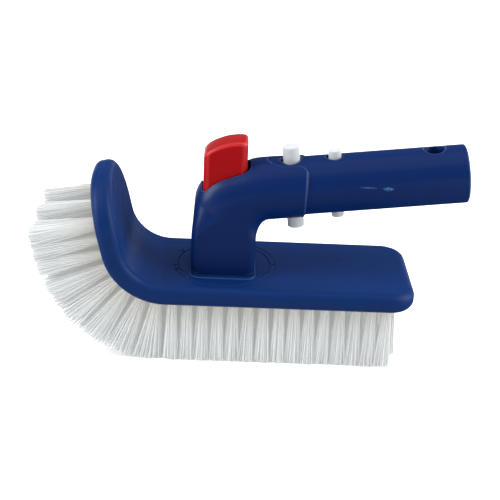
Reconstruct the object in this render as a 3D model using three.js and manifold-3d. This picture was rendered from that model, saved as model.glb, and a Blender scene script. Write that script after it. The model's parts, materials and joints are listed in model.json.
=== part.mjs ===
// Pool wall brush: a J-shaped brush head that swivels under an angled pole handle.
// Millimetres, +Z up. While the pieces are made, the swivel axis is the Z axis and the
// back's flat top face is z = 0, with the free end of the head towards +X. The exported
// group is shifted so that the origin is the middle of the footprint, at the bristle tips.
import * as THREE from "three";
import { mergeVertices } from "three/addons/utils/BufferGeometryUtils.js";
import Module from "manifold-3d";

const wasm = await Module();
wasm.setup();

// ---- driving dimensions ---------------------------------------------------------------

const GAP = 0.3; // clearance between pieces that rest on or slide past each other
const DEG = Math.PI / 180;

// Brush back: a plate bent into a J
const BACK_WIDTH = 64;
const BACK_THICK = 10.5;
const BACK_END_X = 97; // free end
const BACK_CORNER_R = 13; // corners of the free end, in plan
const ARCH_R = 29; // corners of the upright, which almost meet in an arch
const BACK_EDGE_R = 4.2; // rounding of the long edges
const CURVE_X = -28.5; // where the flat part ends
const CURVE_OUTER_R = 32.5;
const CURVE_DEG = 77.5; // the upright leans outwards by the rest of 90 degrees
const UPRIGHT_LENGTH = 36.3;

// Bristles
const ROW_COUNT = 5;
const ROW_PITCH = 12;
const TUFT_PITCH = 7.75;
const TUFT_START_X = 83; // first tuft of the outer rows
const TUFT_END_UP = 16.5; // last tuft, measured up the upright
const TUFT_LENGTH = 31.5;
const TUFT_LENGTH_CURVE = 32.7; // on the curve and the upright
const TUFT_ROOT_R = 2.2;
const TUFT_TIP_R = 3.5;
const TUFT_FAN_R = 6.3; // tip of a tuft on the curve, where bristles spread
const COMB_STRIP = 0.6; // thin strip that joins the tufts of one row
const COMB_STRIP_WIDTH = 5;

// Dial ring and ticks sunk into the top face
const DIAL_R = 27;
const DIAL_LINE = 1;
const DIAL_DEPTH = 0.4;
const TICK_INNER_R = 24.4;
const TICK_DEGREES = [0, 45, 90, 150, 189.5, 200.5, 225, 270, 315];

// Swivel
const POCKET_R = 24; // shallow round pocket that the bearing plate turns in
const POCKET_DEPTH = 0.9;
const THRUST_R = 15;
const THRUST_THICK = 1.2;
const JOURNAL_R = 6.4;
const HUB_FLANGE_R = 9;
const HUB_FLANGE_THICK = 1.6;
const HUB_NECK_R = 4.6;
const HUB_HEX = 5.5; // half the width across flats
const HUB_FOOT_Z = -4;
const TEETH = 24;
const TOOTH_ROOT_R = 6;
const TOOTH_TIP_R = 7.2;
const TOOTH_BAND = [16, 21]; // z of the hub's teeth
const HUB_TOOTH = [3.6, 2.2]; // half a tooth's angle at its root and its tip, in degrees
const GEAR_TOOTH = [3, 1.6];
const DISC_R = 23.6; // round disc of the bearing plate, flush with the back's top face
const DISC_THICK = 0.5;
const PLATE_X = [-17.4, 16.2];
const PLATE_HALF_Y = 18.6;
const PLATE_R = 5;
const PLATE_THICK = 1;
const PLATE_CORE_RISE = 2; // the plate's core stands up inside the post
const PLATE_SCREW_AT = [13.6, 6];
const PLATE_SCREW_R = 1.05;
const PLATE_SCREW_HEAD_R = 1.95;
const PLATE_SCREW_HEAD = 0.8;
const PLATE_SCREW_TOP = 9;
const SINK_R = 2.2; // countersink for a plate screw
const SINK_DEPTH = 0.9;
const PIVOT_SCREW_R = 2.5;
const PIVOT_SCREW_HEAD_R = 4.2;
const PIVOT_SCREW_TOP = 12;
const HEAD_POCKET_Z = -7; // ceiling of the screw head's pocket in the underside
const WASHER_R = 5;
const WASHER_THICK = 0.8;

// Handle: post, elbow and collar, with a spigot for the pole
const POST_LEFT = 17;
const POST_RIGHT = 15.6;
const POST_HALF_DEPTH = 15.2;
const POST_EDGE_R = 4;
const POST_FOOT_Z = 0.7;
const ELBOW_CENTRE = [22.7, 19.5]; // x, z of the inner corner's centre
const ELBOW_SWELL = 4.2; // how far the outer corner stands out of a round bend
const ELBOW_SWELL_DEG = 36;
const ELBOW_SWELL_SPAN = 34;
const ELBOW_EDGE_R = 21.5; // how deep the outer corner's oval rounding reaches
const TUBE_TILT = 7; // degrees above horizontal
const TUBE_AXIS_Z = 40.3; // height at which the tube's axis meets the swivel axis
const TUBE_R = 14.75;
const TUBE_BORE_R = 12.5;
const TUBE_END = 120.4; // distances along the tube are from the swivel axis
const BORE_FLOOR = 24;
const COLLAR_R = 15.9;
const COLLAR_END_X = 39.4; // the collar ends in an upright plane
const NOTCH_MIDDLE = 33;
const NOTCH_HALF = [11, 7.8];
const NOTCH_FLARE_R = 5;
const HANG_HOLE_AT = 104.6;
const HANG_HOLE_R = 5.2;
const CAVITY_HALF = [11.6, 10.9];
const CAVITY_R = 3;
const CAVITY_TOP = 22;
const CHANNEL_X = [-12.4, 11.5];
const CHANNEL_HALF_Y = 8.2;
const CHANNEL_R = 3.4;
const BARB_POCKET_X = [-13.6, 12.6];
const BARB_POCKET_HALF_Y = 6;
const BARB_POCKET_R = 1;
const BARB_POCKET_TOP = 34.3;

// Release button, lock gear and spring
const BUTTON_X = [-11.9, 9.9];
const BUTTON_HALF_Y = 7.7;
const BUTTON_R = 3;
const BUTTON_SKIRT_Z = 40;
const BUTTON_LEFT_Z = 61.8; // height of the top's low side
const BUTTON_RIGHT_Z = 68.8; // height of the top's high side
const BUTTON_CROWN = 2.4;
const BUTTON_WALL = 1.8;
const BUTTON_ROOF = 4; // over the hollow, at the low side
const LEG_LEFT_X = [-10.9, -8.6];
const LEG_RIGHT_X = [7.6, 9.9];
const LEG_HALF_WIDTH = 5.4;
const LEG_OVERLAP = 4; // length of a leg that lies against the cap's wall
const BARB_OUT = 2.3;
const BARB_HALF_WIDTH = 3;
const BARB_HEIGHT = 3;
const GEAR_Z = [16.3, 20.7];
const SPRING_R = 9.9;
const SPRING_WIRE = 1.2;
const SPRING_TURNS = 4;

// Two-arm spring clip inside the tube, with a large and a small pin on each arm
const BIG_PIN_AT = 33.7;
const BIG_PIN_R = 4.25;
const BIG_PIN_REACH = 21.65; // tip, from the tube's axis
const SMALL_PIN_AT = 55.3;
const SMALL_PIN_R = 3.2;
const SMALL_PIN_REACH = 18;
const PIN_PLAY = 0.95; // the holes leave room for the pins to tilt
const PIN_HOLE_SHIFT = -0.3; // most of it on the side the pins tilt to
const ARM_OFFSET = 10;
const ARM_THICK = 2;
const ARM_WIDTH = 7;
const ARM_TIP_AT = 27.5;
const BOW_AT = 83;

const ABOVE_ALL = 80; // a height above every piece

// ---- materials ------------------------------------------------------------------------

const blue = new THREE.MeshStandardMaterial({ color: 0x16326f, roughness: 0.32, metalness: 0 });
const red = new THREE.MeshStandardMaterial({ color: 0xb0101a, roughness: 0.3, metalness: 0 });
const nylon = new THREE.MeshStandardMaterial({ color: 0xeef1f3, roughness: 0.5, metalness: 0 });
const acetal = new THREE.MeshStandardMaterial({ color: 0xdfe3e6, roughness: 0.4, metalness: 0 });
const steel = new THREE.MeshStandardMaterial({ color: 0xb9bcc0, roughness: 0.3, metalness: 1 });

// ---- solids ---------------------------------------------------------------------------

// A closed geometry as a manifold-3d solid.
function solid(geometry) {
  const bare = geometry.index ? geometry.toNonIndexed() : geometry.clone();
  bare.deleteAttribute("normal");
  bare.deleteAttribute("uv");
  const merged = mergeVertices(bare, 1e-4);
  return new wasm.Manifold(
    new wasm.Mesh({
      numProp: 3,
      vertProperties: merged.attributes.position.array,
      triVerts: new Uint32Array(merged.index.array),
    }),
  );
}

// A manifold-3d solid as a geometry.
function geometryOf(made) {
  const mesh = made.getMesh();
  const geometry = new THREE.BufferGeometry();
  geometry.setAttribute("position", new THREE.BufferAttribute(mesh.vertProperties, 3));
  geometry.setIndex(new THREE.BufferAttribute(mesh.triVerts, 1));
  geometry.computeVertexNormals();
  return geometry;
}

const join = (...solids) => solids.reduce((a, b) => a.add(b));
const cut = (from, ...tools) => tools.reduce((a, b) => a.subtract(b), from);

// An upright cylinder from z0 to z1, or a cone when a top radius is given.
function cylinder(r, z0, z1, segments = 32, topR = r) {
  const g = new THREE.CylinderGeometry(topR, r, z1 - z0, segments);
  g.rotateX(Math.PI / 2);
  g.translate(0, 0, (z0 + z1) / 2);
  return solid(g);
}

// A flat shape raised from z0 to z1.
function prism(shape, z0, z1, curveSegments = 8) {
  const g = new THREE.ExtrudeGeometry(shape, {
    depth: z1 - z0,
    bevelEnabled: false,
    curveSegments,
  });
  g.translate(0, 0, z0);
  return solid(g);
}

// A rounded rectangle that reaches from one x to another.
function slot([x0, x1], halfY, r) {
  const s = new THREE.Shape();
  s.absarc(x1 - r, halfY - r, r, 0, 90 * DEG);
  s.absarc(x0 + r, halfY - r, r, 90 * DEG, 180 * DEG);
  s.absarc(x0 + r, -halfY + r, r, 180 * DEG, 270 * DEG);
  s.absarc(x1 - r, -halfY + r, r, 270 * DEG, 360 * DEG);
  s.closePath();
  return s;
}

const roundedRect = (halfX, halfY, r) => slot([-halfX, halfX], halfY, r);

function box(x0, x1, y0, y1, z0, z1) {
  const g = new THREE.BoxGeometry(x1 - x0, y1 - y0, z1 - z0);
  g.translate((x0 + x1) / 2, (y0 + y1) / 2, (z0 + z1) / 2);
  return solid(g);
}

// A skin through rings of points, closed by a flat fan at each end.
function loft(rings) {
  const size = rings[0].length;
  const positions = rings.flat().flatMap((p) => [p.x, p.y, p.z]);
  const index = [];
  for (let i = 0; i + 1 < rings.length; i++)
    for (let j = 0; j < size; j++) {
      const a = i * size + j;
      const b = i * size + ((j + 1) % size);
      index.push(a, b, a + size, b, b + size, a + size);
    }
  const last = (rings.length - 1) * size;
  for (let j = 1; j + 1 < size; j++) {
    index.push(0, j + 1, j);
    index.push(last, last + j, last + j + 1);
  }
  const g = new THREE.BufferGeometry();
  g.setAttribute("position", new THREE.Float32BufferAttribute(positions, 3));
  g.setIndex(index);
  const made = solid(g);
  if (made.volume() >= 0) return made;
  g.setIndex(index.reverse());
  return solid(g);
}

// ---- brush back -----------------------------------------------------------------------

const MIDDLE_R = CURVE_OUTER_R - BACK_THICK / 2;
const CURVE_Z = CURVE_OUTER_R - BACK_THICK;
const FLAT_LENGTH = BACK_END_X - CURVE_X;
const CURVE_ANGLE = CURVE_DEG * DEG;

// A point of the J: radius is the curve's radius for the layer it lies in (smaller towards
// the handle side), and turn and up are how far round the curve and up the upright it is.
function pointOfJ(radius, x, turn, up, y) {
  const px = x - radius * Math.sin(turn) - up * Math.cos(turn);
  const pz = CURVE_Z - radius * Math.cos(turn) + up * Math.sin(turn);
  return new THREE.Vector3(px, y, pz);
}

// The same point from its distance along the layer with radius `measured`.
function alongJ(distance, measured, radius, y) {
  if (distance <= FLAT_LENGTH) return pointOfJ(radius, BACK_END_X - distance, 0, 0, y);
  const turn = Math.min((distance - FLAT_LENGTH) / measured, CURVE_ANGLE);
  const up = Math.max(distance - FLAT_LENGTH - CURVE_ANGLE * measured, 0);
  return pointOfJ(radius, CURVE_X, turn, up, y);
}

// Half the plate's width at a distance from an end whose corners have radius `corner`, for a
// layer set in by the edge rounding.
function halfWidth(fromEnd, inset, corner) {
  const past = corner - fromEnd;
  if (past <= 0) return BACK_WIDTH / 2 - inset;
  const r = corner - inset;
  return BACK_WIDTH / 2 - corner + Math.sqrt(Math.max(r * r - past * past, 0));
}

// Cross-section of the plate: two straight faces joined by rounded sides.
function backRing(distance, total) {
  const fromEnd = Math.min(distance, total - distance);
  const corner = distance < total / 2 ? BACK_CORNER_R : ARCH_R;
  const reach = Math.acos(Math.max(1 - fromEnd / BACK_EDGE_R, 0));
  const steps = 3;
  const side = [];
  for (let k = -steps; k <= steps; k++) {
    const a = (k / steps) * reach;
    const inset = BACK_EDGE_R * (1 - Math.cos(a));
    const level = Math.sign(k) * (BACK_THICK / 2 - BACK_EDGE_R) + BACK_EDGE_R * Math.sin(a);
    if (k) side.push([halfWidth(fromEnd, inset, corner), level]);
    else
      for (const face of [-1, 1])
        side.push([halfWidth(fromEnd, 0, corner), face * (BACK_THICK / 2 - BACK_EDGE_R)]);
  }
  const at = ([w, level]) => alongJ(distance, MIDDLE_R, MIDDLE_R - level, w);
  const mirrored = side.map(([w, level]) => [-w, level]).reverse();
  return [...side, ...mirrored].map(at);
}

function brushBack() {
  const curveLength = CURVE_ANGLE * MIDDLE_R;
  const total = FLAT_LENGTH + curveLength + UPRIGHT_LENGTH;
  const endSteps = 9;
  const curveSteps = 16;
  const nearEnd = (k, corner) => corner * (1 - Math.cos((k / endSteps) * 90 * DEG));
  const stations = [];
  for (let k = 0; k <= endSteps; k++) stations.push(nearEnd(k, BACK_CORNER_R));
  for (let k = 0; k <= curveSteps; k++) stations.push(FLAT_LENGTH + (k / curveSteps) * curveLength);
  for (let k = endSteps; k >= 0; k--) stations.push(total - nearEnd(k, ARCH_R));
  const plate = loft(stations.map((d) => backRing(d, total)));
  return cut(plate, ...dialTools(), ...socketTools());
}

// The sunken ring round the post's foot, and the short ticks inside it.
function dialTools() {
  const ring = cut(
    cylinder(DIAL_R, -DIAL_DEPTH, 1, 40),
    cylinder(DIAL_R - DIAL_LINE, -DIAL_DEPTH - 1, 2, 40),
  );
  const tickEnd = DIAL_R - DIAL_LINE / 2;
  const ticks = TICK_DEGREES.map((deg) => {
    const g = new THREE.BoxGeometry(tickEnd - TICK_INNER_R, DIAL_LINE, 1 + DIAL_DEPTH);
    g.translate((tickEnd + TICK_INNER_R) / 2, 0, (1 - DIAL_DEPTH) / 2);
    g.rotateZ(deg * DEG);
    return solid(g);
  });
  return [ring, ...ticks];
}

// The bearing plate's pocket, the recess for the thrust washer, the hexagonal socket for the
// hub and the screw's hole.
function socketTools() {
  return [
    cylinder(POCKET_R, -POCKET_DEPTH, 1, 40),
    cylinder(THRUST_R + GAP, THRUST_Z[0] - GAP, 0),
    cylinder(hexRadius(HUB_HEX + GAP), HUB_FOOT_Z - GAP, 0, 6),
    cylinder(PIVOT_SCREW_R + GAP, HEAD_POCKET_Z - 1, 0, 16),
    cylinder(WASHER_R + GAP, -BACK_THICK - 1, HEAD_POCKET_Z, 24),
  ];
}

function hexRadius(halfAcrossFlats) {
  return halfAcrossFlats / Math.cos(30 * DEG);
}

// ---- bristle rows ---------------------------------------------------------------------

// Distances along the bristle face at which a row's tufts stand. Every second row starts
// and ends half a pitch further out, and the middle row leaves room for the pivot screw.
function tuftStations(row) {
  const shift = row % 2 ? TUFT_PITCH / 2 : 0;
  const first = BACK_END_X - TUFT_START_X - shift;
  const last = FLAT_LENGTH + CURVE_ANGLE * CURVE_OUTER_R + TUFT_END_UP;
  const stations = [];
  for (let d = first; d <= last; d += TUFT_PITCH) stations.push(d);
  const middle = (ROW_COUNT - 1) / 2;
  const clearOfScrew = (d) => Math.abs(BACK_END_X - d) > WASHER_R + TUFT_ROOT_R + 1;
  return row === middle ? stations.filter(clearOfScrew) : stations;
}

// One tuft: six-sided, narrow at the root and wider at the tip, most of all on the curve.
function tuft(distance, y) {
  const turn = THREE.MathUtils.clamp((distance - FLAT_LENGTH) / CURVE_OUTER_R, 0, CURVE_ANGLE);
  const onCurve = Math.sin((turn / CURVE_ANGLE) * Math.PI);
  const tipR = TUFT_TIP_R + (TUFT_FAN_R - TUFT_TIP_R) * onCurve;
  const spread = THREE.MathUtils.smoothstep(turn / CURVE_ANGLE, 0, 0.4);
  const length = TUFT_LENGTH + (TUFT_LENGTH_CURVE - TUFT_LENGTH) * spread;
  const rootLayer = CURVE_OUTER_R + GAP + COMB_STRIP / 2;
  const sides = 6;
  const ring = (layer, r) =>
    Array.from({ length: sides }, (_, k) => {
      const a = (k / sides) * 2 * Math.PI;
      const centre = alongJ(distance, CURVE_OUTER_R, layer, y + r * Math.sin(a));
      const tangent = new THREE.Vector3(-Math.cos(turn), 0, Math.sin(turn));
      return centre.addScaledVector(tangent, r * Math.cos(a));
    });
  return loft([ring(rootLayer, TUFT_ROOT_R), ring(CURVE_OUTER_R + length, tipR)]);
}

// A row of tufts joined at their roots by a thin strip that follows the J.
function bristleRow(row) {
  const y = (row - (ROW_COUNT - 1) / 2) * ROW_PITCH;
  const stations = tuftStations(row);
  const first = stations[0];
  const last = stations[stations.length - 1];
  const curveEnd = FLAT_LENGTH + CURVE_ANGLE * CURVE_OUTER_R;
  const along = [first];
  const curveSteps = 10;
  for (let k = 0; k <= curveSteps; k++)
    along.push(FLAT_LENGTH + (k / curveSteps) * (curveEnd - FLAT_LENGTH));
  along.push(last);
  const low = CURVE_OUTER_R + GAP;
  const high = low + COMB_STRIP;
  const half = COMB_STRIP_WIDTH / 2;
  const ring = (d) => [
    alongJ(d, CURVE_OUTER_R, low, y - half),
    alongJ(d, CURVE_OUTER_R, low, y + half),
    alongJ(d, CURVE_OUTER_R, high, y + half),
    alongJ(d, CURVE_OUTER_R, high, y - half),
  ];
  return join(loft(along.map(ring)), ...stations.map((d) => tuft(d, y)));
}

// ---- swivel ---------------------------------------------------------------------------

const PLATE_Z = [GAP - POCKET_DEPTH, GAP - POCKET_DEPTH + PLATE_THICK];
const CORE_TOP = PLATE_Z[1] + PLATE_CORE_RISE;
const THRUST_Z = [PLATE_Z[0] - GAP - THRUST_THICK, PLATE_Z[0] - GAP];

function thrustWasher() {
  const hole = cylinder(JOURNAL_R + 3 * GAP, THRUST_Z[0] - 1, THRUST_Z[1] + 1);
  return cut(cylinder(THRUST_R, ...THRUST_Z), hole);
}

// A ring of trapezoid teeth, turned by a part of their pitch.
function toothedShape(rootR, tipR, [halfRoot, halfTip], turned) {
  const points = [];
  const pitch = 360 / TEETH;
  const go = (r, deg) =>
    points.push(new THREE.Vector2(r * Math.cos(deg * DEG), r * Math.sin(deg * DEG)));
  for (let k = 0; k < TEETH; k++) {
    const middle = (k + turned) * pitch;
    go(rootR, middle - halfRoot);
    go(tipR, middle - halfTip);
    go(tipR, middle + halfTip);
    go(rootR, middle + halfRoot);
  }
  return new THREE.Shape(points);
}

// Hexagonal foot in the back, journal through the bearing plate, flange above it, and a
// toothed crown on a neck. Its screw comes up from below.
function pivotHub() {
  const flangeZ = CORE_TOP + GAP;
  const body = join(
    cylinder(hexRadius(HUB_HEX), HUB_FOOT_Z, 0, 6),
    cylinder(JOURNAL_R, THRUST_Z[0], flangeZ + 0.5),
    cylinder(HUB_FLANGE_R, flangeZ, flangeZ + HUB_FLANGE_THICK),
    cylinder(HUB_NECK_R, flangeZ, TOOTH_BAND[1], 24),
    prism(toothedShape(TOOTH_ROOT_R, TOOTH_TIP_R, HUB_TOOTH, 0), ...TOOTH_BAND),
  );
  return cut(body, cylinder(PIVOT_SCREW_R + GAP, HUB_FOOT_Z - 1, PIVOT_SCREW_TOP + 1, 16));
}

// The outline that fits the post's cavity with a clearance all round.
const insideCavity = () => roundedRect(CAVITY_HALF[0] - GAP, CAVITY_HALF[1] - GAP, CAVITY_R - GAP);

// Slides up and down in the post's cavity; its inner teeth grip the hub's crown.
function lockGear() {
  const plate = prism(insideCavity(), ...GEAR_Z, 4);
  const inside = toothedShape(TOOTH_TIP_R + GAP, TOOTH_ROOT_R + GAP, GEAR_TOOTH, 0.5);
  return cut(plate, prism(inside, GEAR_Z[0] - 1, GEAR_Z[1] + 1));
}

// A screw standing on its head: head from z0 to z1 and shank up to z2, with a hex socket.
function screw(headR, shankR, z0, z1, z2, neckR = headR) {
  const socketR = shankR * 0.6;
  const depth = (z1 - z0) * 0.6;
  return cut(
    join(cylinder(headR, z0, z1, 18, neckR), cylinder(shankR, z1 - 0.2, z2, 14)),
    cylinder(socketR, z0 - 1, z0 + depth, 6),
  );
}

const WASHER_Z = [HEAD_POCKET_Z - GAP - WASHER_THICK, HEAD_POCKET_Z - GAP];

function pivotScrew() {
  const low = GAP - BACK_THICK;
  return screw(PIVOT_SCREW_HEAD_R, PIVOT_SCREW_R, low, WASHER_Z[0] - GAP, PIVOT_SCREW_TOP);
}

function pivotWasher() {
  return cut(
    cylinder(WASHER_R, ...WASHER_Z, 24),
    cylinder(PIVOT_SCREW_R + GAP, WASHER_Z[0] - 1, WASHER_Z[1] + 1, 16),
  );
}

// The turntable under the post's foot: a round disc, a low plinth with rounded corners on it,
// and a core that enters the post's cavity.
function bearingPlate() {
  const disc = cylinder(DISC_R, PLATE_Z[0], PLATE_Z[0] + DISC_THICK, 48);
  const plinth = prism(slot(PLATE_X, PLATE_HALF_Y, PLATE_R), PLATE_Z[0] + DISC_THICK / 2, PLATE_Z[1], 5);
  const flange = join(disc, plinth);
  const core = prism(insideCavity(), (PLATE_Z[0] + PLATE_Z[1]) / 2, CORE_TOP, 4);
  const holeR = PLATE_SCREW_R + GAP;
  const below = PLATE_Z[0] - 0.01; // just under the disc, so that the sink breaks through
  const holes = plateScrewPlaces().map(([x, y]) => {
    const through = cylinder(holeR, PLATE_Z[0] - 1, CORE_TOP, 12);
    const sink = cylinder(SINK_R, below, PLATE_Z[0] + SINK_DEPTH, 12, holeR);
    return join(through, sink).translate([x, y, 0]);
  });
  return cut(join(flange, core), cylinder(JOURNAL_R + GAP, -1, CORE_TOP + 1), ...holes);
}

function plateScrewPlaces() {
  const [x, y] = PLATE_SCREW_AT;
  return [
    [x, y],
    [-x, y],
    [-x, -y],
    [x, -y],
  ];
}

function plateScrew() {
  const low = PLATE_Z[0] + SINK_DEPTH - PLATE_SCREW_HEAD;
  const top = low + PLATE_SCREW_HEAD;
  return screw(PLATE_SCREW_HEAD_R, PLATE_SCREW_R, low, top, PLATE_SCREW_TOP, PLATE_SCREW_R);
}

// ---- handle ---------------------------------------------------------------------------

const TUBE_DIR = [Math.cos(TUBE_TILT * DEG), Math.sin(TUBE_TILT * DEG)];
const ELBOW_DEG = 90 - TUBE_TILT;

// Places a piece made along +X, with its centre line on the X axis, onto the tube's axis.
const tubeFrame = new THREE.Matrix4()
  .makeTranslation(0, 0, TUBE_AXIS_Z)
  .multiply(new THREE.Matrix4().makeRotationY(-TUBE_TILT * DEG));

// A cylinder along the tube's axis, or across it in the upright plane.
function tubeCylinder(r, from, to, segments = 32) {
  const g = new THREE.CylinderGeometry(r, r, to - from, segments);
  g.rotateZ(-90 * DEG);
  g.translate((from + to) / 2, 0, 0);
  return solid(g.applyMatrix4(tubeFrame));
}

function crossHole(r, at, segments = 20) {
  const g = new THREE.CylinderGeometry(r, r, 4 * TUBE_R, segments);
  g.rotateX(90 * DEG);
  g.translate(at, 0, 0);
  return solid(g.applyMatrix4(tubeFrame));
}

// A section of the elbow: a rectangle with oval corners. `out` runs away from the elbow's
// inner corner, and each rounding is [reach along out, reach across].
function sectionPoints(inner, outer, halfDepth, outerRound, innerRound, place) {
  const perCorner = 6;
  const points = [];
  for (let corner = 0; corner < 4; corner++) {
    const outside = corner === 0 || corner === 3;
    const [ru, rv] = outside ? outerRound : innerRound;
    const cu = outside ? outer - ru : inner + ru;
    const cv = (corner < 2 ? 1 : -1) * (halfDepth - rv);
    for (let k = 0; k <= perCorner; k++) {
      const a = (corner + k / perCorner) * 90 * DEG;
      points.push(place(cu + ru * Math.cos(a), cv + rv * Math.sin(a)));
    }
  }
  return points;
}

// Distance of the tube's axis from the elbow's inner corner centre.
const ELBOW_TO_AXIS =
  (TUBE_AXIS_Z - ELBOW_CENTRE[1]) * TUBE_DIR[0] + ELBOW_CENTRE[0] * TUBE_DIR[1];
function elbowSection(deg) {
  const t = deg / ELBOW_DEG;
  const ease = THREE.MathUtils.smoothstep(t, 0.35, 1);
  const lerp = THREE.MathUtils.lerp;
  const inner = lerp(ELBOW_CENTRE[0] - POST_RIGHT, ELBOW_TO_AXIS - COLLAR_R, t);
  const round = lerp(ELBOW_CENTRE[0] + POST_LEFT, ELBOW_TO_AXIS + COLLAR_R, t);
  const from = THREE.MathUtils.clamp((deg - ELBOW_SWELL_DEG) / ELBOW_SWELL_SPAN, -1, 1);
  const outer = round + ELBOW_SWELL * Math.cos((from * Math.PI) / 2) ** 3;
  const depth = lerp(POST_HALF_DEPTH, COLLAR_R, ease);
  const swell = THREE.MathUtils.smoothstep(deg, 0, ELBOW_SWELL_DEG);
  const reach = lerp(lerp(POST_EDGE_R, ELBOW_EDGE_R, swell), COLLAR_R, ease);
  const across = Math.min(lerp(lerp(POST_EDGE_R, depth, swell), COLLAR_R, ease), depth);
  const innerR = lerp(POST_EDGE_R, COLLAR_R, THREE.MathUtils.smoothstep(t, 0, 1));
  const halfSpan = (outer - inner) / 2;
  const outerRound = [Math.min(reach, halfSpan), across];
  const innerRound = [Math.min(innerR, halfSpan), Math.min(innerR, depth)];
  const a = deg * DEG;
  const place = (out, y) =>
    new THREE.Vector3(
      ELBOW_CENTRE[0] - out * Math.cos(a),
      y,
      ELBOW_CENTRE[1] + out * Math.sin(a),
    );
  return sectionPoints(inner, outer, depth, outerRound, innerRound, place);
}

function handleSkin() {
  const rings = [];
  const foot = elbowSection(0);
  rings.push(foot.map((p) => new THREE.Vector3(p.x, p.y, POST_FOOT_Z)));
  const steps = 11;
  for (let k = 0; k <= steps; k++) rings.push(elbowSection((k / steps) * ELBOW_DEG));
  const along = new THREE.Vector3(TUBE_DIR[0], 0, TUBE_DIR[1]);
  const toCollarEnd = (p) => p.clone().addScaledVector(along, (COLLAR_END_X - p.x) / along.x);
  rings.push(rings[rings.length - 1].map(toCollarEnd));
  return join(loft(rings), tubeCylinder(TUBE_R, BORE_FLOOR, TUBE_END, 40));
}

// The thumb notch: a long rounded cut back from the collar's end, flared where it meets the
// end, and down to the tube's own surface.
function notchTool() {
  const [reach, half] = NOTCH_HALF;
  const end = COLLAR_END_X / TUBE_DIR[0] + COLLAR_R * Math.tan(TUBE_TILT * DEG);
  const flareX = end - NOTCH_FLARE_R;
  const flareY = half + NOTCH_FLARE_R;
  const shape = new THREE.Shape();
  shape.absellipse(NOTCH_MIDDLE, 0, reach, half, 90 * DEG, 270 * DEG, false);
  shape.absarc(flareX, -flareY, NOTCH_FLARE_R, 90 * DEG, 0, true);
  shape.lineTo(end + 1, -flareY);
  shape.lineTo(end + 1, flareY);
  shape.absarc(flareX, flareY, NOTCH_FLARE_R, 0, -90 * DEG, true);
  shape.closePath();
  const depth = COLLAR_R + 4;
  const g = new THREE.ExtrudeGeometry(shape, { depth, bevelEnabled: false, curveSegments: 8 });
  return cut(solid(g.applyMatrix4(tubeFrame)), tubeCylinder(TUBE_R, 0, TUBE_END, 40));
}

function handle() {
  const holes = plateScrewPlaces().map(([x, y]) =>
    cylinder(PLATE_SCREW_R + GAP, 0, PLATE_SCREW_TOP + GAP, 12).translate([x, y, 0]),
  );
  const barbPocket = slot(BARB_POCKET_X, BARB_POCKET_HALF_Y, BARB_POCKET_R);
  return cut(
    handleSkin(),
    tubeCylinder(TUBE_BORE_R, BORE_FLOOR, TUBE_END + 1),
    notchTool(),
    crossHole(BIG_PIN_R + PIN_PLAY, BIG_PIN_AT + PIN_HOLE_SHIFT),
    crossHole(SMALL_PIN_R + PIN_PLAY, SMALL_PIN_AT + PIN_HOLE_SHIFT),
    crossHole(HANG_HOLE_R, HANG_HOLE_AT),
    prism(roundedRect(...CAVITY_HALF, CAVITY_R), 0, CAVITY_TOP, 4),
    prism(slot(CHANNEL_X, CHANNEL_HALF_Y, CHANNEL_R), CAVITY_TOP - 1, ABOVE_ALL, 5),
    prism(barbPocket, CAVITY_TOP - 1, BARB_POCKET_TOP, 2),
    ...holes,
  );
}

// ---- release button and spring --------------------------------------------------------

// The button's outline from the side: straight flanks under a sloping, crowned top.
function buttonTop() {
  const [left, right] = BUTTON_X;
  const width = right - left;
  const rise = BUTTON_RIGHT_Z - BUTTON_LEFT_Z;
  const chord = Math.hypot(width, rise);
  const r = (chord * chord) / (8 * BUTTON_CROWN) + BUTTON_CROWN / 2;
  const tilt = Math.atan2(rise, width);
  const sweep = Math.asin(chord / 2 / r);
  const below = r - BUTTON_CROWN;
  const cx = (left + right) / 2 + below * Math.sin(tilt);
  const cz = (BUTTON_LEFT_Z + BUTTON_RIGHT_Z) / 2 - below * Math.cos(tilt);
  const shape = new THREE.Shape();
  shape.moveTo(left, BUTTON_SKIRT_Z);
  shape.lineTo(right, BUTTON_SKIRT_Z);
  shape.absarc(cx, cz, r, 90 * DEG + tilt - sweep, 90 * DEG + tilt + sweep);
  shape.closePath();
  const depth = 2 * BUTTON_HALF_Y;
  const g = new THREE.ExtrudeGeometry(shape, { depth, bevelEnabled: false, curveSegments: 8 });
  g.rotateX(90 * DEG);
  g.translate(0, BUTTON_HALF_Y, 0);
  return solid(g);
}

// A hollow cap on two legs that press on the lock gear; a barb on each leg keeps it in.
function releaseButton() {
  const outline = slot(BUTTON_X, BUTTON_HALF_Y, BUTTON_R);
  const cap = prism(outline, BUTTON_SKIRT_Z, ABOVE_ALL, 5).intersect(buttonTop());
  const insideX = [BUTTON_X[0] + BUTTON_WALL, BUTTON_X[1] - BUTTON_WALL];
  const inside = slot(insideX, BUTTON_HALF_Y - BUTTON_WALL, BUTTON_R - BUTTON_WALL);
  const hollow = prism(inside, BUTTON_SKIRT_Z - 1, BUTTON_LEFT_Z - BUTTON_ROOF, 2);
  const legZ = [GEAR_Z[1] + GAP, BUTTON_SKIRT_Z + LEG_OVERLAP];
  const barbZ = [BARB_POCKET_TOP - GAP - BARB_HEIGHT, BARB_POCKET_TOP - GAP];
  const leg = (x) => box(...x, -LEG_HALF_WIDTH, LEG_HALF_WIDTH, ...legZ);
  const barb = (x0, x1) => box(x0, x1, -BARB_HALF_WIDTH, BARB_HALF_WIDTH, ...barbZ);
  return join(
    cut(cap, hollow),
    leg(LEG_LEFT_X),
    leg(LEG_RIGHT_X),
    barb(LEG_LEFT_X[0] - BARB_OUT, LEG_LEFT_X[1]),
    barb(LEG_RIGHT_X[0], LEG_RIGHT_X[1] + BARB_OUT),
  );
}

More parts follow.
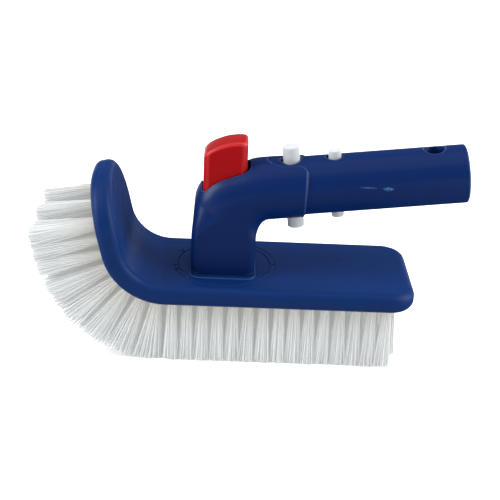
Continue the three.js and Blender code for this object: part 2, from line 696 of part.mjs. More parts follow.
class Helix extends THREE.Curve {
  constructor(radius, z0, z1, turns) {
    super();
    Object.assign(this, { radius, z0, z1, turns });
  }
  getPoint(t, target = new THREE.Vector3()) {
    const a = t * this.turns * 2 * Math.PI;
    const z = this.z0 + (this.z1 - this.z0) * t;
    return target.set(this.radius * Math.cos(a), this.radius * Math.sin(a), z);
  }
}

const SPRING_Z = [CORE_TOP + GAP, GEAR_Z[0] - GAP];

function returnSpring() {
  const wire = SPRING_WIRE / 2;
  const lift = wire * 1.1;
  const path = new Helix(SPRING_R, SPRING_Z[0] + lift, SPRING_Z[1] - lift, SPRING_TURNS);
  const round = new THREE.Shape().absarc(0, 0, wire, 0, 2 * Math.PI);
  const steps = SPRING_TURNS * 12;
  const options = { steps, extrudePath: path, bevelEnabled: false, curveSegments: 3 };
  return solid(new THREE.ExtrudeGeometry(round, options));
}

// ---- spring clip, made along the tube's axis ------------------------------------------

function clipCylinder(r, at, low, high, segments = 20) {
  return cylinder(r, low, high, segments).translate([at, 0, 0]);
}

// One arm with its two pins, on the +Z side of the tube's axis.
function clipArm(side) {
  const low = ARM_OFFSET - ARM_THICK / 2;
  const high = ARM_OFFSET + ARM_THICK / 2;
  const half = ARM_WIDTH / 2;
  const arm = join(
    box(ARM_TIP_AT, BOW_AT - GAP, -half, half, low, high),
    clipCylinder(BIG_PIN_R, BIG_PIN_AT, low + 0.2, BIG_PIN_REACH),
    clipCylinder(SMALL_PIN_R, SMALL_PIN_AT, low + 0.2, SMALL_PIN_REACH),
  );
  return side > 0 ? arm : arm.rotate([180, 0, 0]);
}

// The half ring that joins the arms and acts as their spring.
function clipBow() {
  const ring = new THREE.Shape();
  ring.absarc(0, 0, ARM_OFFSET + ARM_THICK / 2, -90 * DEG, 90 * DEG);
  ring.absarc(0, 0, ARM_OFFSET - ARM_THICK / 2, 90 * DEG, -90 * DEG, true);
  ring.closePath();
  return prism(ring, -ARM_WIDTH / 2, ARM_WIDTH / 2, 12).rotate([90, 0, 0]).translate([BOW_AT, 0, 0]);
}

// ---- assembly -------------------------------------------------------------------------

function piece(name, made, material) {
  const mesh = new THREE.Mesh(geometryOf(made), material);
  mesh.name = name;
  return mesh;
}

const brush = new THREE.Group();

brush.add(piece("brush_back", brushBack(), blue));
for (let row = 0; row < ROW_COUNT; row++)
  brush.add(piece(`bristle_row_${row + 1}`, bristleRow(row), nylon));
brush.add(piece("pivot_hub", pivotHub(), acetal));
brush.add(piece("pivot_screw", pivotScrew(), steel));
brush.add(piece("pivot_washer", pivotWasher(), steel));
brush.add(piece("thrust_washer", thrustWasher(), acetal));
brush.add(piece("handle", handle(), blue));
brush.add(piece("bearing_plate", bearingPlate(), blue));
plateScrewPlaces().forEach(([x, y], k) => {
  const mesh = piece(`plate_screw_${k + 1}`, plateScrew(), steel);
  mesh.position.set(x, y, 0);
  brush.add(mesh);
});
brush.add(piece("release_button", releaseButton(), red));
brush.add(piece("lock_gear", lockGear(), acetal));
brush.add(piece("return_spring", returnSpring(), steel));

const clip = new THREE.Group();
clip.applyMatrix4(tubeFrame);
clip.add(piece("clip_bow", clipBow(), nylon));
clip.add(piece("clip_arm_upper", clipArm(1), nylon));
clip.add(piece("clip_arm_lower", clipArm(-1), nylon));
brush.add(clip);

// Shift the brush so that the origin is the bottom centre of its box.
const extent = new THREE.Box3().setFromObject(brush, true);
const centre = extent.getCenter(new THREE.Vector3());
brush.position.set(-centre.x, -centre.y, -extent.min.z);

const group = new THREE.Group();
group.add(brush);

export default group;
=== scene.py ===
import json
import math

import bmesh
import bpy
import numpy as np
from mathutils import Matrix, Vector
from mathutils.bvhtree import BVHTree

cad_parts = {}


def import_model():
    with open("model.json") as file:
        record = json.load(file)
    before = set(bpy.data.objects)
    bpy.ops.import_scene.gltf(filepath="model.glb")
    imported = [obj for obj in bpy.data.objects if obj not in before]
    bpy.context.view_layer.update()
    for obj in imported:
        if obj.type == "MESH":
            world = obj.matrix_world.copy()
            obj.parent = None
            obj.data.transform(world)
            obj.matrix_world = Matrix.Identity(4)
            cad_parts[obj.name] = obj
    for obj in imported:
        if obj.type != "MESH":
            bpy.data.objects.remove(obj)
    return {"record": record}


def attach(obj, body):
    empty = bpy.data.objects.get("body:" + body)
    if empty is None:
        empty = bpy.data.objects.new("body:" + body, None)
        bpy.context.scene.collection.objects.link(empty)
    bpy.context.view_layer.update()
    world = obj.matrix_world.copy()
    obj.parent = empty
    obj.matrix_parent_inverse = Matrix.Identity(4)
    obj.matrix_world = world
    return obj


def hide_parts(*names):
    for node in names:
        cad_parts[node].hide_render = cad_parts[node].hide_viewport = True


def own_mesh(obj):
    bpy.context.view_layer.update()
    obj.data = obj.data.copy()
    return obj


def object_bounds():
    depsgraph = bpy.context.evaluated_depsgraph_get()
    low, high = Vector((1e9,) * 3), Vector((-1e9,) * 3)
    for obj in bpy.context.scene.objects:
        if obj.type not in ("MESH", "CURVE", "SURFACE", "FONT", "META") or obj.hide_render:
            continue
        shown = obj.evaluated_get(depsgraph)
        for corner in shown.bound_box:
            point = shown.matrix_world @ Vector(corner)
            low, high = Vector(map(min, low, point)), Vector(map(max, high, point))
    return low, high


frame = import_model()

CAD_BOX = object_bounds()
JOINTS = {j["name"]: j for j in frame["record"]["behaviour"]["joints"]}

# Shapes are made in millimetres round the swivel axis, with the back's top face at z = 0 and
# the free end towards +X. TO_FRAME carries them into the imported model's frame.
ORIGIN = Vector(JOINTS["head_swivel"]["pos_m"])
MM = 0.001
TO_FRAME = Matrix.Translation(ORIGIN) @ Matrix.Scale(MM, 4)
DEG = math.pi / 180

# ---- dimensions, in millimetres --------------------------------------------------------

GAP = 0.3  # clearance between pieces

# The back: a flat board that bends up into a round-topped upright
BACK_WIDTH, BACK_THICK, BACK_END_X = 64, 10.5, 97
BACK_CORNER_R, ARCH_R, BACK_EDGE_R = 13, 29, 4.2
CURVE_X, CURVE_OUTER_R, CURVE_ANGLE, UPRIGHT_LENGTH = -28.5, 32.5, 77.5 * DEG, 36.3
MIDDLE_R = CURVE_OUTER_R - BACK_THICK / 2
CURVE_Z = CURVE_OUTER_R - BACK_THICK
FLAT_LENGTH = BACK_END_X - CURVE_X

# Bristles
ROW_COUNT, ROW_PITCH, TUFT_PITCH = 5, 12, 7.75
TUFT_START_X, TUFT_END_UP = 83, 16.5
TUFT_LENGTH, TUFT_LENGTH_CURVE = 31.5, 32.7
TUFT_ROOT_R, TUFT_HOLE_R, TUFT_HOLE_DEPTH = 2.1, 2.45, 2.5
FILAMENTS, FILAMENT_R = 128, 0.24

# The dial on the back's top, and the swivel in the middle of it
DIAL_R, DIAL_LINE, DIAL_DEPTH, TICK_INNER_R, TICK_DEPTH = 27, 1, 0.28, 24.4, 0.75
TICK_DEGREES = [0, 45, 90, 150, 189.5, 200.5, 225, 270, 315]
POCKET_R, POCKET_DEPTH, DISC_R, DISC_THICK = 24, 0.9, 23.75, 0.5
THRUST_R, JOURNAL_R = 15, 6.4
HUB_FLANGE_R, HUB_FLANGE_THICK, HUB_NECK_R, HUB_HEX, HUB_FOOT_Z = 9, 1.6, 4.6, 5.5, -4
TEETH, TOOTH_ROOT_R, TOOTH_TIP_R, TOOTH_BAND = 24, 6, 7.2, (16, 21)
PLATE_X, PLATE_HALF_Y, PLATE_R, PLATE_Z, CORE_TOP = (-17.4, 16.2), 18.6, 5, (-0.6, 0.4), 2.4
THRUST_Z = (-2.1, -0.9)
PLATE_SCREW_AT, PLATE_SCREW_R, PLATE_SCREW_HEAD_R = (13.6, 6), 1.05, 1.95
PLATE_SCREW_Z = (-0.5, 0.3, 9)
PIVOT_SCREW_R, PIVOT_SCREW_HEAD_R, PIVOT_SCREW_Z = 2.5, 4.2, (-10.2, -8.4, 12)
WASHER_R, WASHER_Z, HEAD_POCKET_Z = 5, (-8.1, -7.3), -7

# Handle: post, elbow, collar and tube
POST_LEFT, POST_RIGHT, POST_HALF_DEPTH, POST_EDGE_R, POST_FOOT_Z = 17, 15.6, 15.2, 4, 0.7
ELBOW_CENTRE = (22.7, 19.5)
ELBOW_SWELL, ELBOW_SWELL_DEG, ELBOW_SWELL_SPAN, ELBOW_EDGE_R = 4.2, 36, 34, 21.5
TUBE_TILT, TUBE_AXIS_Z, TUBE_R, TUBE_BORE_R, TUBE_END = 7 * DEG, 40.3, 14.75, 12.5, 120.4
BORE_FLOOR, COLLAR_R, COLLAR_END_X = 24, 15.9, 39.4
NOTCH_MIDDLE, NOTCH_HALF, NOTCH_FLARE_R = 33, (11, 7.8), 5
HANG_HOLE_AT, HANG_HOLE_R = 104.6, 5.2
CAVITY_HALF, CAVITY_R, CAVITY_TOP = (11.6, 10.9), 3, 22
CHANNEL_X, CHANNEL_HALF_Y, CHANNEL_R = (-12.4, 11.5), 8.2, 3.4
BARB_POCKET_X, BARB_POCKET_HALF_Y, BARB_POCKET_TOP = (-13.6, 12.6), 6, 34.3

# Release button, lock gear and return spring
BUTTON_X, BUTTON_HALF_Y, BUTTON_R = (-11.9, 9.9), 7.7, 3
BUTTON_SKIRT_Z, BUTTON_LEFT_Z, BUTTON_RIGHT_Z, BUTTON_CROWN = 40, 61.8, 68.8, 2.4
BUTTON_WALL, BUTTON_EDGE_R = 1.8, 1.3
LEG_LEFT_X, LEG_RIGHT_X, LEG_HALF_WIDTH, LEG_Z = (-10.9, -8.6), (7.6, 9.9), 5.4, (21, 44)
BARB_OUT, BARB_HALF_WIDTH, BARB_Z = 2.3, 3, (31, 34)
GEAR_Z = (16.3, 20.7)
SPRING_R, SPRING_WIRE, SPRING_TURNS, SPRING_Z = 9.9, 1.2, 4, (2.7, 16.0)

# Spring clip, measured along the tube from the elbow
BIG_PIN_AT, BIG_PIN_R, BIG_PIN_REACH = 33.7, 4.25, 21.65
SMALL_PIN_AT, SMALL_PIN_R, SMALL_PIN_REACH = 55.3, 3.2, 18
PIN_PLAY, PIN_HOLE_SHIFT = 0.95, -0.3
ARM_OFFSET, ARM_THICK, ARM_WIDTH, ARM_TIP_AT, BOW_AT = 10, 2, 7, 27.5, 83

TUBE_FRAME = Matrix.Translation((0, 0, TUBE_AXIS_Z)) @ Matrix.Rotation(-TUBE_TILT, 4, "Y")
ALONG_X = Matrix.Rotation(90 * DEG, 4, "Y")

# ---- meshes ----------------------------------------------------------------------------


def smooth(x, low, high):
    """0 up to `low`, 1 from `high`, and an even S between them."""
    t = min(max((x - low) / (high - low), 0), 1)
    return t * t * (3 - 2 * t)


def lerp(a, b, t):
    return a + (b - a) * t


def mesh_object(name, verts, faces):
    mesh = bpy.data.meshes.new(name)
    mesh.from_pydata([tuple(map(float, v)) for v in verts], [], faces)
    obj = bpy.data.objects.new(name, mesh)
    bpy.context.scene.collection.objects.link(obj)
    return obj


def clean(obj, merge=0.002):
    """Merges points that coincide and turns every face outwards."""
    bm = bmesh.new()
    bm.from_mesh(obj.data)
    bmesh.ops.remove_doubles(bm, verts=bm.verts, dist=merge)
    bmesh.ops.dissolve_degenerate(bm, edges=bm.edges, dist=merge / 4)
    bmesh.ops.recalc_face_normals(bm, faces=bm.faces)
    bm.to_mesh(obj.data)
    bm.free()
    return obj


def band(a, b, n):
    """The faces between two rings of n points, which start at points a and b."""
    return [(a + j, a + (j + 1) % n, b + (j + 1) % n, b + j) for j in range(n)]


def loft(name, rings, ring_closed=False):
    """A closed skin through rings of points. It ends in flat caps, or joins up with itself."""
    n = len(rings[0])
    count = len(rings)
    faces = []
    for i in range(count if ring_closed else count - 1):
        faces += band(i * n, ((i + 1) % count) * n, n)
    if not ring_closed:
        faces.append(tuple(reversed(range(n))))
        faces.append(tuple(range((count - 1) * n, count * n)))
    return clean(mesh_object(name, np.concatenate([np.asarray(r, float) for r in rings]), faces))


def lathe(name, profile, segments=96, closed=False):
    """A turned shape from (radius, height) pairs. A closed profile makes a ring."""
    a = np.arange(segments) * 2 * math.pi / segments
    rings = [np.stack([r * np.cos(a), r * np.sin(a), np.full(segments, z)], 1) for r, z in profile]
    return loft(name, rings, closed)


def rod(name, r, start, end, segments=96):
    return lathe(name, [(0, start), (r, start), (r, end), (0, end)], segments)


def hexagon(r):
    return r * np.array([(math.cos(k * 60 * DEG), math.sin(k * 60 * DEG)) for k in range(6)])


def slot_points(span, half_y, r, inset=0.0, per_corner=10, per_side=0):
    """Outline of a rounded rectangle, drawn in by `inset`."""
    x0, x1, hy = span[0] + inset, span[1] - inset, half_y - inset
    r = max(r - inset, 0.02)
    points = []
    for k, (cx, cy) in enumerate(((x1 - r, hy - r), (x0 + r, hy - r), (x0 + r, r - hy), (x1 - r, r - hy))):
        for i in range(per_corner + 1):
            a = (k + i / per_corner) * 90 * DEG
            points.append((cx + r * math.cos(a), cy + r * math.sin(a)))
    points = np.array(points)
    if not per_side:
        return points
    corners = np.split(points, 4)
    between = np.linspace(0, 1, per_side + 2)[1:-1, None]
    sides = [arc[-1] + (corners[(k + 1) % 4][0] - arc[-1]) * between for k, arc in enumerate(corners)]
    return np.concatenate([part for pair in zip(corners, sides) for part in pair])


def rounded(span, half_y, r, **detail):
    """A rounded rectangle as an outline function, for `slab`."""
    return lambda inset: slot_points(span, half_y, r, inset, **detail)


def drawn_in(points):
    """Any fixed outline as an outline function: it draws in towards the axis."""
    return lambda inset: points * (1 - inset / np.linalg.norm(points, axis=1).max())


def slab(name, outline, z0, z1, low_r=0.0, high_r=0.0, steps=4):
    """An outline raised from z0 to z1 with rounded lower and upper edges. `outline(inset)`
    gives the points."""
    rings = []

    def ring(inset, z):
        p = outline(inset)
        rings.append(np.column_stack([p, np.full(len(p), z)]))

    for k in range(steps + 1) if low_r else [steps]:
        a = k / steps * 90 * DEG
        ring(low_r * (1 - math.sin(a)), z0 + low_r * (1 - math.cos(a)))
    for k in range(steps + 1) if high_r else [0]:
        a = k / steps * 90 * DEG
        ring(high_r * (1 - math.cos(a)), z1 - high_r * (1 - math.sin(a)))
    return loft(name, rings)


def place(obj, matrix):
    obj.data.transform(matrix)
    return obj


def apply(obj):
    """Replaces a mesh with the result of its modifiers."""
    graph = bpy.context.evaluated_depsgraph_get()
    mesh = bpy.data.meshes.new_from_object(obj.evaluated_get(graph))
    obj.modifiers.clear()
    old, obj.data = obj.data, mesh
    bpy.data.meshes.remove(old)
    return obj


def discard(obj):
    mesh = obj.data
    bpy.data.objects.remove(obj)
    bpy.data.meshes.remove(mesh)


def values_of(items, name, size):
    """One property of a mesh's points or edges, as an array of `size` numbers for each."""
    values = np.empty(len(items) * size, int if name == "vertices" else float)
    items.foreach_get(name, values)
    return values.reshape(-1, size)


def store(mesh, name, values):
    attribute = mesh.attributes.new(name, "FLOAT", "POINT")
    attribute.data.foreach_set("value", np.asarray(values, np.float32).ravel())


def boolean(obj, tools, operation="DIFFERENCE"):
    for tool in tools:
        modifier = obj.modifiers.new("boolean", "BOOLEAN")
        modifier.operation = operation
        modifier.solver = "MANIFOLD"
        modifier.object = tool
    apply(obj)
    for tool in tools:
        discard(tool)
    return obj


def merged(name, objects):
    """Separate solids that don't touch, as one mesh."""
    bm = bmesh.new()
    for obj in objects:
        bm.from_mesh(obj.data)
        discard(obj)
    mesh = bpy.data.meshes.new(name)
    bm.to_mesh(mesh)
    bm.free()
    obj = bpy.data.objects.new(name, mesh)
    bpy.context.scene.collection.objects.link(obj)
    return obj


def soften(obj, voxel, passes, settle=0.14):
    """Rounds every edge as a mould does: remesh, relax, then put back the points whose
    surface was smooth to begin with."""
    tree = BVHTree.FromObject(obj, bpy.context.evaluated_depsgraph_get())
    remesh = obj.modifiers.new("remesh", "REMESH")
    remesh.mode = "VOXEL"
    remesh.voxel_size = voxel
    relax = obj.modifiers.new("relax", "SMOOTH")
    relax.factor = 0.5
    relax.iterations = passes
    apply(obj)
    co = values_of(obj.data.vertices, "co", 3)
    for i, p in enumerate(co):
        near, _, _, distance = tree.find_nearest(Vector(p))
        co[i] += (np.array(near) - p) * smooth(settle - distance, 0, 0.6 * settle)
    obj.data.vertices.foreach_set("co", co.ravel())
    settle_down = obj.modifiers.new("settle", "SMOOTH")
    settle_down.factor = 0.5
    settle_down.iterations = 2
    return level_specks(apply(obj))


def level_specks(obj, limit=0.012, rounds=6):
    """Evens out single points that stand out of, or sink into, the surface round them, and
    stores how far the surface bends outwards, in millimetres, as the attribute `convex`."""
    mesh = obj.data
    co = values_of(mesh.vertices, "co", 3)
    ends = values_of(mesh.edges, "vertices", 2)
    a, b = ends.T
    count = np.bincount(ends.ravel(), minlength=len(co))[:, None]

    def around(values):
        total = np.zeros_like(values)
        np.add.at(total, a, values[b])
        np.add.at(total, b, values[a])
        return total / count

    for _ in range(rounds):
        pull = around(co) - co
        odd = pull - around(pull)
        far = np.linalg.norm(odd, axis=1) > limit
        co[far] += 0.7 * odd[far]
    mesh.vertices.foreach_set("co", co.ravel())
    mesh.update()
    normals = values_of(mesh.vertices, "normal", 3)
    convex = -((around(co) - co) * normals).sum(1, keepdims=True)
    store(mesh, "convex", around(around(convex)))
    return obj


def finish_piece(obj, body, material, replaced, sharp=35):
    """Puts a made shape in the frame, on its body, with its material and smooth shading.
    `replaced` are the nodes that it stands for."""
    obj.data.transform(TO_FRAME)
    obj.data.shade_smooth()
    obj.data.set_sharp_from_angle(angle=sharp * DEG)
    obj.data.materials.clear()
    obj.data.materials.append(material)
    normals = obj.modifiers.new("normals", "WEIGHTED_NORMAL")
    normals.keep_sharp = True
    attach(obj, body)
    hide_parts(*replaced)
    return obj


# ---- materials -------------------------------------------------------------------------


def colour(r, g, b):
    """An sRGB colour, 0 to 255, as linear RGBA."""
    linear = [c / 3294.6 if c <= 10 else ((c / 255 + 0.055) / 1.055) ** 2.4 for c in (r, g, b)]
    return (*linear, 1)


class Nodes:
    """Short-hand for a material's node tree, in the object's own coordinates."""

    def __init__(self, name):
        self.material = bpy.data.materials.new(name)
        self.material.use_nodes = True
        self.tree = self.material.node_tree
        self.bsdf = self.tree.nodes["Principled BSDF"]
        self.output = self.tree.nodes["Material Output"]
        self.coords = self.add("TexCoord").outputs["Object"]

    def add(self, kind, **settings):
        node = self.tree.nodes.new("ShaderNode" + kind)
        for key, value in settings.items():
            setattr(node, key, value)
        return node

    def link(self, source, node, socket):
        self.tree.links.new(source, node.inputs[socket])

    def settings(self, node, values):
        for socket, value in values.items():
            node.inputs[socket].default_value = value

    def noise(self, scale, detail=3.0, stretch=None, roughness=0.5):
        node = self.add("TexNoise")
        self.settings(node, {"Scale": scale, "Detail": detail, "Roughness": roughness})
        source = self.coords
        if stretch:
            mapping = self.add("Mapping")
            mapping.inputs["Scale"].default_value = stretch
            self.link(source, mapping, "Vector")
            source = mapping.outputs[0]
        self.link(source, node, "Vector")
        return node.outputs["Fac"]

    def spread(self, source, low, high, from_low=0.3, from_high=0.7):
        node = self.add("MapRange")
        self.link(source, node, "Value")
        self.settings(node, {"From Min": from_low, "From Max": from_high, "To Min": low, "To Max": high})
        return node.outputs[0]

    def maths(self, operation, a, b):
        node = self.add("Math", operation=operation)
        for k, value in enumerate((a, b)):
            if isinstance(value, (int, float)):
                node.inputs[k].default_value = value
            else:
                self.link(value, node, k)
        return node.outputs[0]

    def mix(self, fac, a, b):
        node = self.add("Mix", data_type="RGBA")
        for socket, value in ((0, fac), (6, a), (7, b)):
            if isinstance(value, (int, float, tuple)):
                node.inputs[socket].default_value = value
            else:
                self.link(value, node, socket)
        return node.outputs[2]

    def bump(self, height, strength, distance, below=None):
        node = self.add("Bump")
        self.settings(node, {"Strength": strength, "Distance": distance})
        self.link(height, node, "Height")
        if below:
            self.link(below, node, "Normal")
        return node.outputs[0]

    def spot(self, centre_mm, reach_mm):
        """1 at a point of the model, falling to 0 at its reach along x, y and z."""
        centre = TO_FRAME @ Vector(centre_mm)
        shift = self.add("VectorMath", operation="SUBTRACT")
        self.link(self.coords, shift, 0)
        shift.inputs[1].default_value = centre
        scale = self.add("VectorMath", operation="MULTIPLY")
        self.link(shift.outputs[0], scale, 0)
        scale.inputs[1].default_value = [1 / (MM * r) for r in reach_mm]
        length = self.add("VectorMath", operation="LENGTH")
        self.link(scale.outputs[0], length, 0)
        return self.spread(length.outputs["Value"], 1.0, 0.0, 0.0, 1.0)


def moulded_plastic(name, tone, shade, roughness, specular, coat, scuffs=(), edges=None):
    """Glossy injection-moulded plastic: faint clouds in its colour, a slightly uneven gloss, and the
    shallow ripple that a cooled skin shows. `coat` is its weight and roughness, a scuff is a centre, a
    reach and a tone, and `edges` are the tone of a painted highlight on the outward bends, its amount, and
    the bends at which it starts and is full. Inward bends get painted shade: they go darker."""
    n = Nodes(name)
    clouds = n.spread(n.noise(35, 2), 0.0, 1.0)
    base = n.mix(clouds, colour(*shade), colour(*tone))
    rough = n.spread(n.noise(140, 5), roughness - 0.03, roughness + 0.05)
    for centre, reach, pale in scuffs:
        grain = n.spread(n.noise(2600, 3, (0.35, 1, 1.4)), 0.0, 1.0, 0.4, 0.62)
        mask = n.maths("MULTIPLY", n.spread(n.spot(centre, reach), 0.0, 1.0, 0.0, 0.45), grain)
        base = n.mix(n.maths("MULTIPLY", mask, 0.5), base, colour(*pale))
        rough = n.maths("ADD", rough, n.maths("MULTIPLY", mask, 0.2))
    # Painted highlight: outward bends are lightened towards the edge tone. Painted shade: inward bends are
    # darkened.
    if edges:
        pale, amount, low, high = edges
        bend = n.add("Attribute", attribute_name="convex").outputs["Fac"]
        base = n.mix(n.spread(bend, 0.0, amount, low, high), base, colour(*pale))
        base = n.mix(n.spread(bend, 0.6, 0.0, -high, -low), base, colour(*(c * 0.45 for c in shade)))
    n.link(base, n.bsdf, "Base Color")
    n.link(rough, n.bsdf, "Roughness")
    ripple = n.bump(n.noise(60, 1), 0.025, 0.0006)
    skin = n.bump(n.noise(2400, 3), 0.05, 0.00006, ripple)
    n.link(skin, n.bsdf, "Normal")
    n.settings(n.bsdf, {"IOR": 1.49, "Specular IOR Level": specular, "Coat Weight": coat[0],
                        "Coat Roughness": coat[1]})
    return n.material


def pale_plastic(name, tone, roughness, glow):
    """Unfilled white nylon or acetal, which lets a little light in."""
    n = Nodes(name)
    clouds = n.spread(n.noise(180, 3), 0.0, 1.0)
    darker = tuple(c * 0.965 for c in tone)
    n.link(n.mix(clouds, colour(*darker), colour(*tone)), n.bsdf, "Base Color")
    n.link(n.spread(n.noise(500, 3), roughness - 0.05, roughness + 0.06), n.bsdf, "Roughness")
    n.link(n.bump(n.noise(1500, 3), 0.08, 0.0001), n.bsdf, "Normal")
    n.settings(n.bsdf, {"Subsurface Weight": glow, "Subsurface Radius": (0.0016, 0.0018, 0.002),
                        "Subsurface Scale": 1.0, "Specular IOR Level": 0.25})
    return n.material


def filament_nylon():
    """Drawn nylon filament: each one a slightly different white, with painted shade making it greyer at the
    root, and translucent, so that light passes between neighbours. A faint painted glow stands in for light
    bounced between the filaments."""
    n = Nodes("filament_nylon")
    tone = n.add("Attribute", attribute_name="tone").outputs["Fac"]
    along = n.add("Attribute", attribute_name="along").outputs["Fac"]
    base = n.mix(tone, colour(212, 214, 215), colour(223, 225, 225))
    # Painted shade: greyer towards the root, where the filaments shade each other
    base = n.mix(n.spread(along, 0.55, 0.0, 0.0, 0.6), base, colour(206, 203, 192))
    n.link(base, n.bsdf, "Base Color")
    n.link(n.spread(n.noise(1200, 2, (1, 1, 0.2)), 0.32, 0.5), n.bsdf, "Roughness")
    glow = n.add("BsdfTranslucent")
    n.link(base, glow, "Color")
    shader = n.add("MixShader")
    shader.inputs[0].default_value = 0.45
    # Painted glow: a faint emission stands in for light bounced between the filaments
    n.link(base, n.bsdf, "Emission Color")
    n.bsdf.inputs["Emission Strength"].default_value = 0.32
    n.link(n.bsdf.outputs[0], shader, 1)
    n.link(glow.outputs[0], shader, 2)
    n.link(shader.outputs[0], n.output, "Surface")
    return n.material


def turned_steel():
    """Stainless steel with fine turning marks round its axis."""
    n = Nodes("stainless")
    marks = n.noise(700, 4, (1, 1, 9))
    base = n.mix(n.spread(marks, 0.0, 1.0), colour(168, 170, 174), colour(206, 208, 211))
    n.link(base, n.bsdf, "Base Color")
    n.link(n.spread(marks, 0.2, 0.36), n.bsdf, "Roughness")
    n.link(n.bump(marks, 0.1, 0.00005), n.bsdf, "Normal")
    n.bsdf.inputs["Metallic"].default_value = 1.0
    return n.material


# Worn spots on the tube's near side
SCUFFS = (
    ((69.6, -14.6, 50.8), (4.6, 3.0, 0.55), (84, 122, 170)),
    ((79.1, -14.7, 50.6), (3.2, 3.0, 1.1), (90, 140, 186)),
)
# Tone of the painted highlight on outward bends of the handle and along the plinth's rim
EDGE_HIGHLIGHT = (96, 128, 190)
BLUE_TONES = ((6, 37, 87), (6, 35, 83))
BLUE = moulded_plastic("blue_plastic", *BLUE_TONES, 0.38, 0.05, (0.1, 0.5))
# The plinth's material paints a highlight along the plinth's rim
PLINTH_BLUE_HIGHLIT = moulded_plastic("blue_plastic_plinth_highlit", *BLUE_TONES, 0.38, 0.05, (0.1, 0.5),
                              edges=(EDGE_HIGHLIGHT, 0.2, 0.2, 1.0))
# The handle's material paints a highlight on its outward bends and shade in its inward bends
HANDLE_BLUE = moulded_plastic("blue_plastic_handle", (5, 31, 79), (5, 29, 76), 0.38, 0.02, (0.22, 0.3),
                              SCUFFS, (EDGE_HIGHLIGHT, 0.35, 0.012, 0.04))
# The button's material paints a pink highlight on its outward bends and shade in its inward bends
RED = moulded_plastic("red_plastic", (141, 2, 7), (137, 2, 6), 0.3, 0.03, (0.45, 0.16),
                      edges=((228, 78, 82), 0.32, 0.002, 0.014))
WHITE = pale_plastic("clip_nylon", (180, 184, 187), 0.5, 0.32)
ACETAL = pale_plastic("acetal", (229, 231, 229), 0.42, 0.2)
STEEL = turned_steel()
FILAMENT = filament_nylon()

# ---- brush back ------------------------------------------------------------------------


def point_of_j(radius, x, turn, up, y):
    return (x - radius * math.sin(turn) - up * math.cos(turn), y,
            CURVE_Z - radius * math.cos(turn) + up * math.sin(turn))


def along_j(distance, measured, radius, y):
    """A point of the J at a distance from the free end, measured along one of its layers."""
    if distance <= FLAT_LENGTH:
        return point_of_j(radius, BACK_END_X - distance, 0, 0, y)
    turn = min((distance - FLAT_LENGTH) / measured, CURVE_ANGLE)
    up = max(distance - FLAT_LENGTH - CURVE_ANGLE * measured, 0)
    return point_of_j(radius, CURVE_X, turn, up, y)


def half_width(from_end, inset, corner):
    past = corner - from_end
    if past <= 0:
        return BACK_WIDTH / 2 - inset
    r = corner - inset
    return BACK_WIDTH / 2 - corner + math.sqrt(max(r * r - past * past, 0))


def back_ring(distance, total, steps=9):
    from_end = min(distance, total - distance)
    corner = BACK_CORNER_R if distance < total / 2 else ARCH_R
    reach = math.acos(max(1 - from_end / BACK_EDGE_R, 0))
    flank = BACK_THICK / 2 - BACK_EDGE_R
    side = []
    for k in range(-steps, steps + 1):
        a = k / steps * reach
        inset = BACK_EDGE_R * (1 - math.cos(a))
        levels = [math.copysign(flank, k) + BACK_EDGE_R * math.sin(a)] if k else [-flank, flank]
        side += [(half_width(from_end, inset, corner), level) for level in levels]
    inner, outer = side[0], side[-1]
    across = (0.97, 0.9, 0.6, 0.2)
    near = [(outer[0] * f, outer[1]) for f in across]
    far = [(inner[0] * f, inner[1]) for f in reversed(across)]
    half = far + side + near
    ring = half + [(-w, level) for w, level in reversed(half)]
    return [along_j(distance, MIDDLE_R, MIDDLE_R - level, w) for w, level in ring]


def groove(depth):
    """Cross-section of a sunken line: (across, height), with soft shoulders and a round floor."""
    half = DIAL_LINE / 2
    shape = [(half + 0.6, 0.4), (half + 0.3, 0.01), (half + 0.12, -0.1 * depth)]
    shape += [(half - 0.02, -0.36 * depth), (half - 0.14, -0.64 * depth), (half - 0.28, -0.9 * depth)]
    shape.append((half - 0.42, -depth))
    return shape + [(-w, z) for w, z in reversed(shape)]


def dial_tools():
    middle = DIAL_R - DIAL_LINE / 2
    tools = [lathe("dial", [(middle + w, z) for w, z in groove(DIAL_DEPTH)], 160, closed=True)]
    inner = TICK_INNER_R
    depths = ((inner - 0.15, 0.0), (inner + 0.05, 0.6), (inner + 0.3, 1.0), (middle, 1.0))
    for deg in TICK_DEGREES:
        rings = [[(r, w * 0.9, z if z > 0 else z * deep) for w, z in groove(TICK_DEPTH)]
                 for r, deep in depths]
        tools.append(place(loft("tick", rings), Matrix.Rotation(deg * DEG, 4, "Z")))
    return tools


def socket_tools():
    """What is cut from the back for the swivel, from the disc's pocket down to the screw's head."""
    hexes = hexagon((HUB_HEX + GAP) / math.cos(30 * DEG))
    low, head_r = -BACK_THICK, WASHER_R + GAP
    pocket = [(0, 1), (POCKET_R + 0.12, 1), (POCKET_R + 0.08, 0.01), (POCKET_R + 0.02, -0.05),
              (POCKET_R, -0.2), (POCKET_R, -POCKET_DEPTH), (0, -POCKET_DEPTH)]
    mouth = [(0, low - 1), (WASHER_R + 1.1, low - 1), (WASHER_R + 0.9, low), (WASHER_R + 0.4, low + 0.2),
             (head_r, low + 0.6), (head_r, HEAD_POCKET_Z), (0, HEAD_POCKET_Z)]
    recess = [(0, 0), (THRUST_R + GAP, 0), (THRUST_R + GAP, THRUST_Z[0] - GAP), (0, THRUST_Z[0] - GAP)]
    return [
        lathe("pocket", pocket, 160),
        lathe("thrust_recess", recess),
        loft("hex_socket", [[(*p, z) for p in hexes] for z in (HUB_FOOT_Z - GAP, 0)]),
        rod("screw_hole", PIVOT_SCREW_R + GAP, HEAD_POCKET_Z - 1, 0, 48),
        lathe("head_pocket", mouth, 64),
    ]


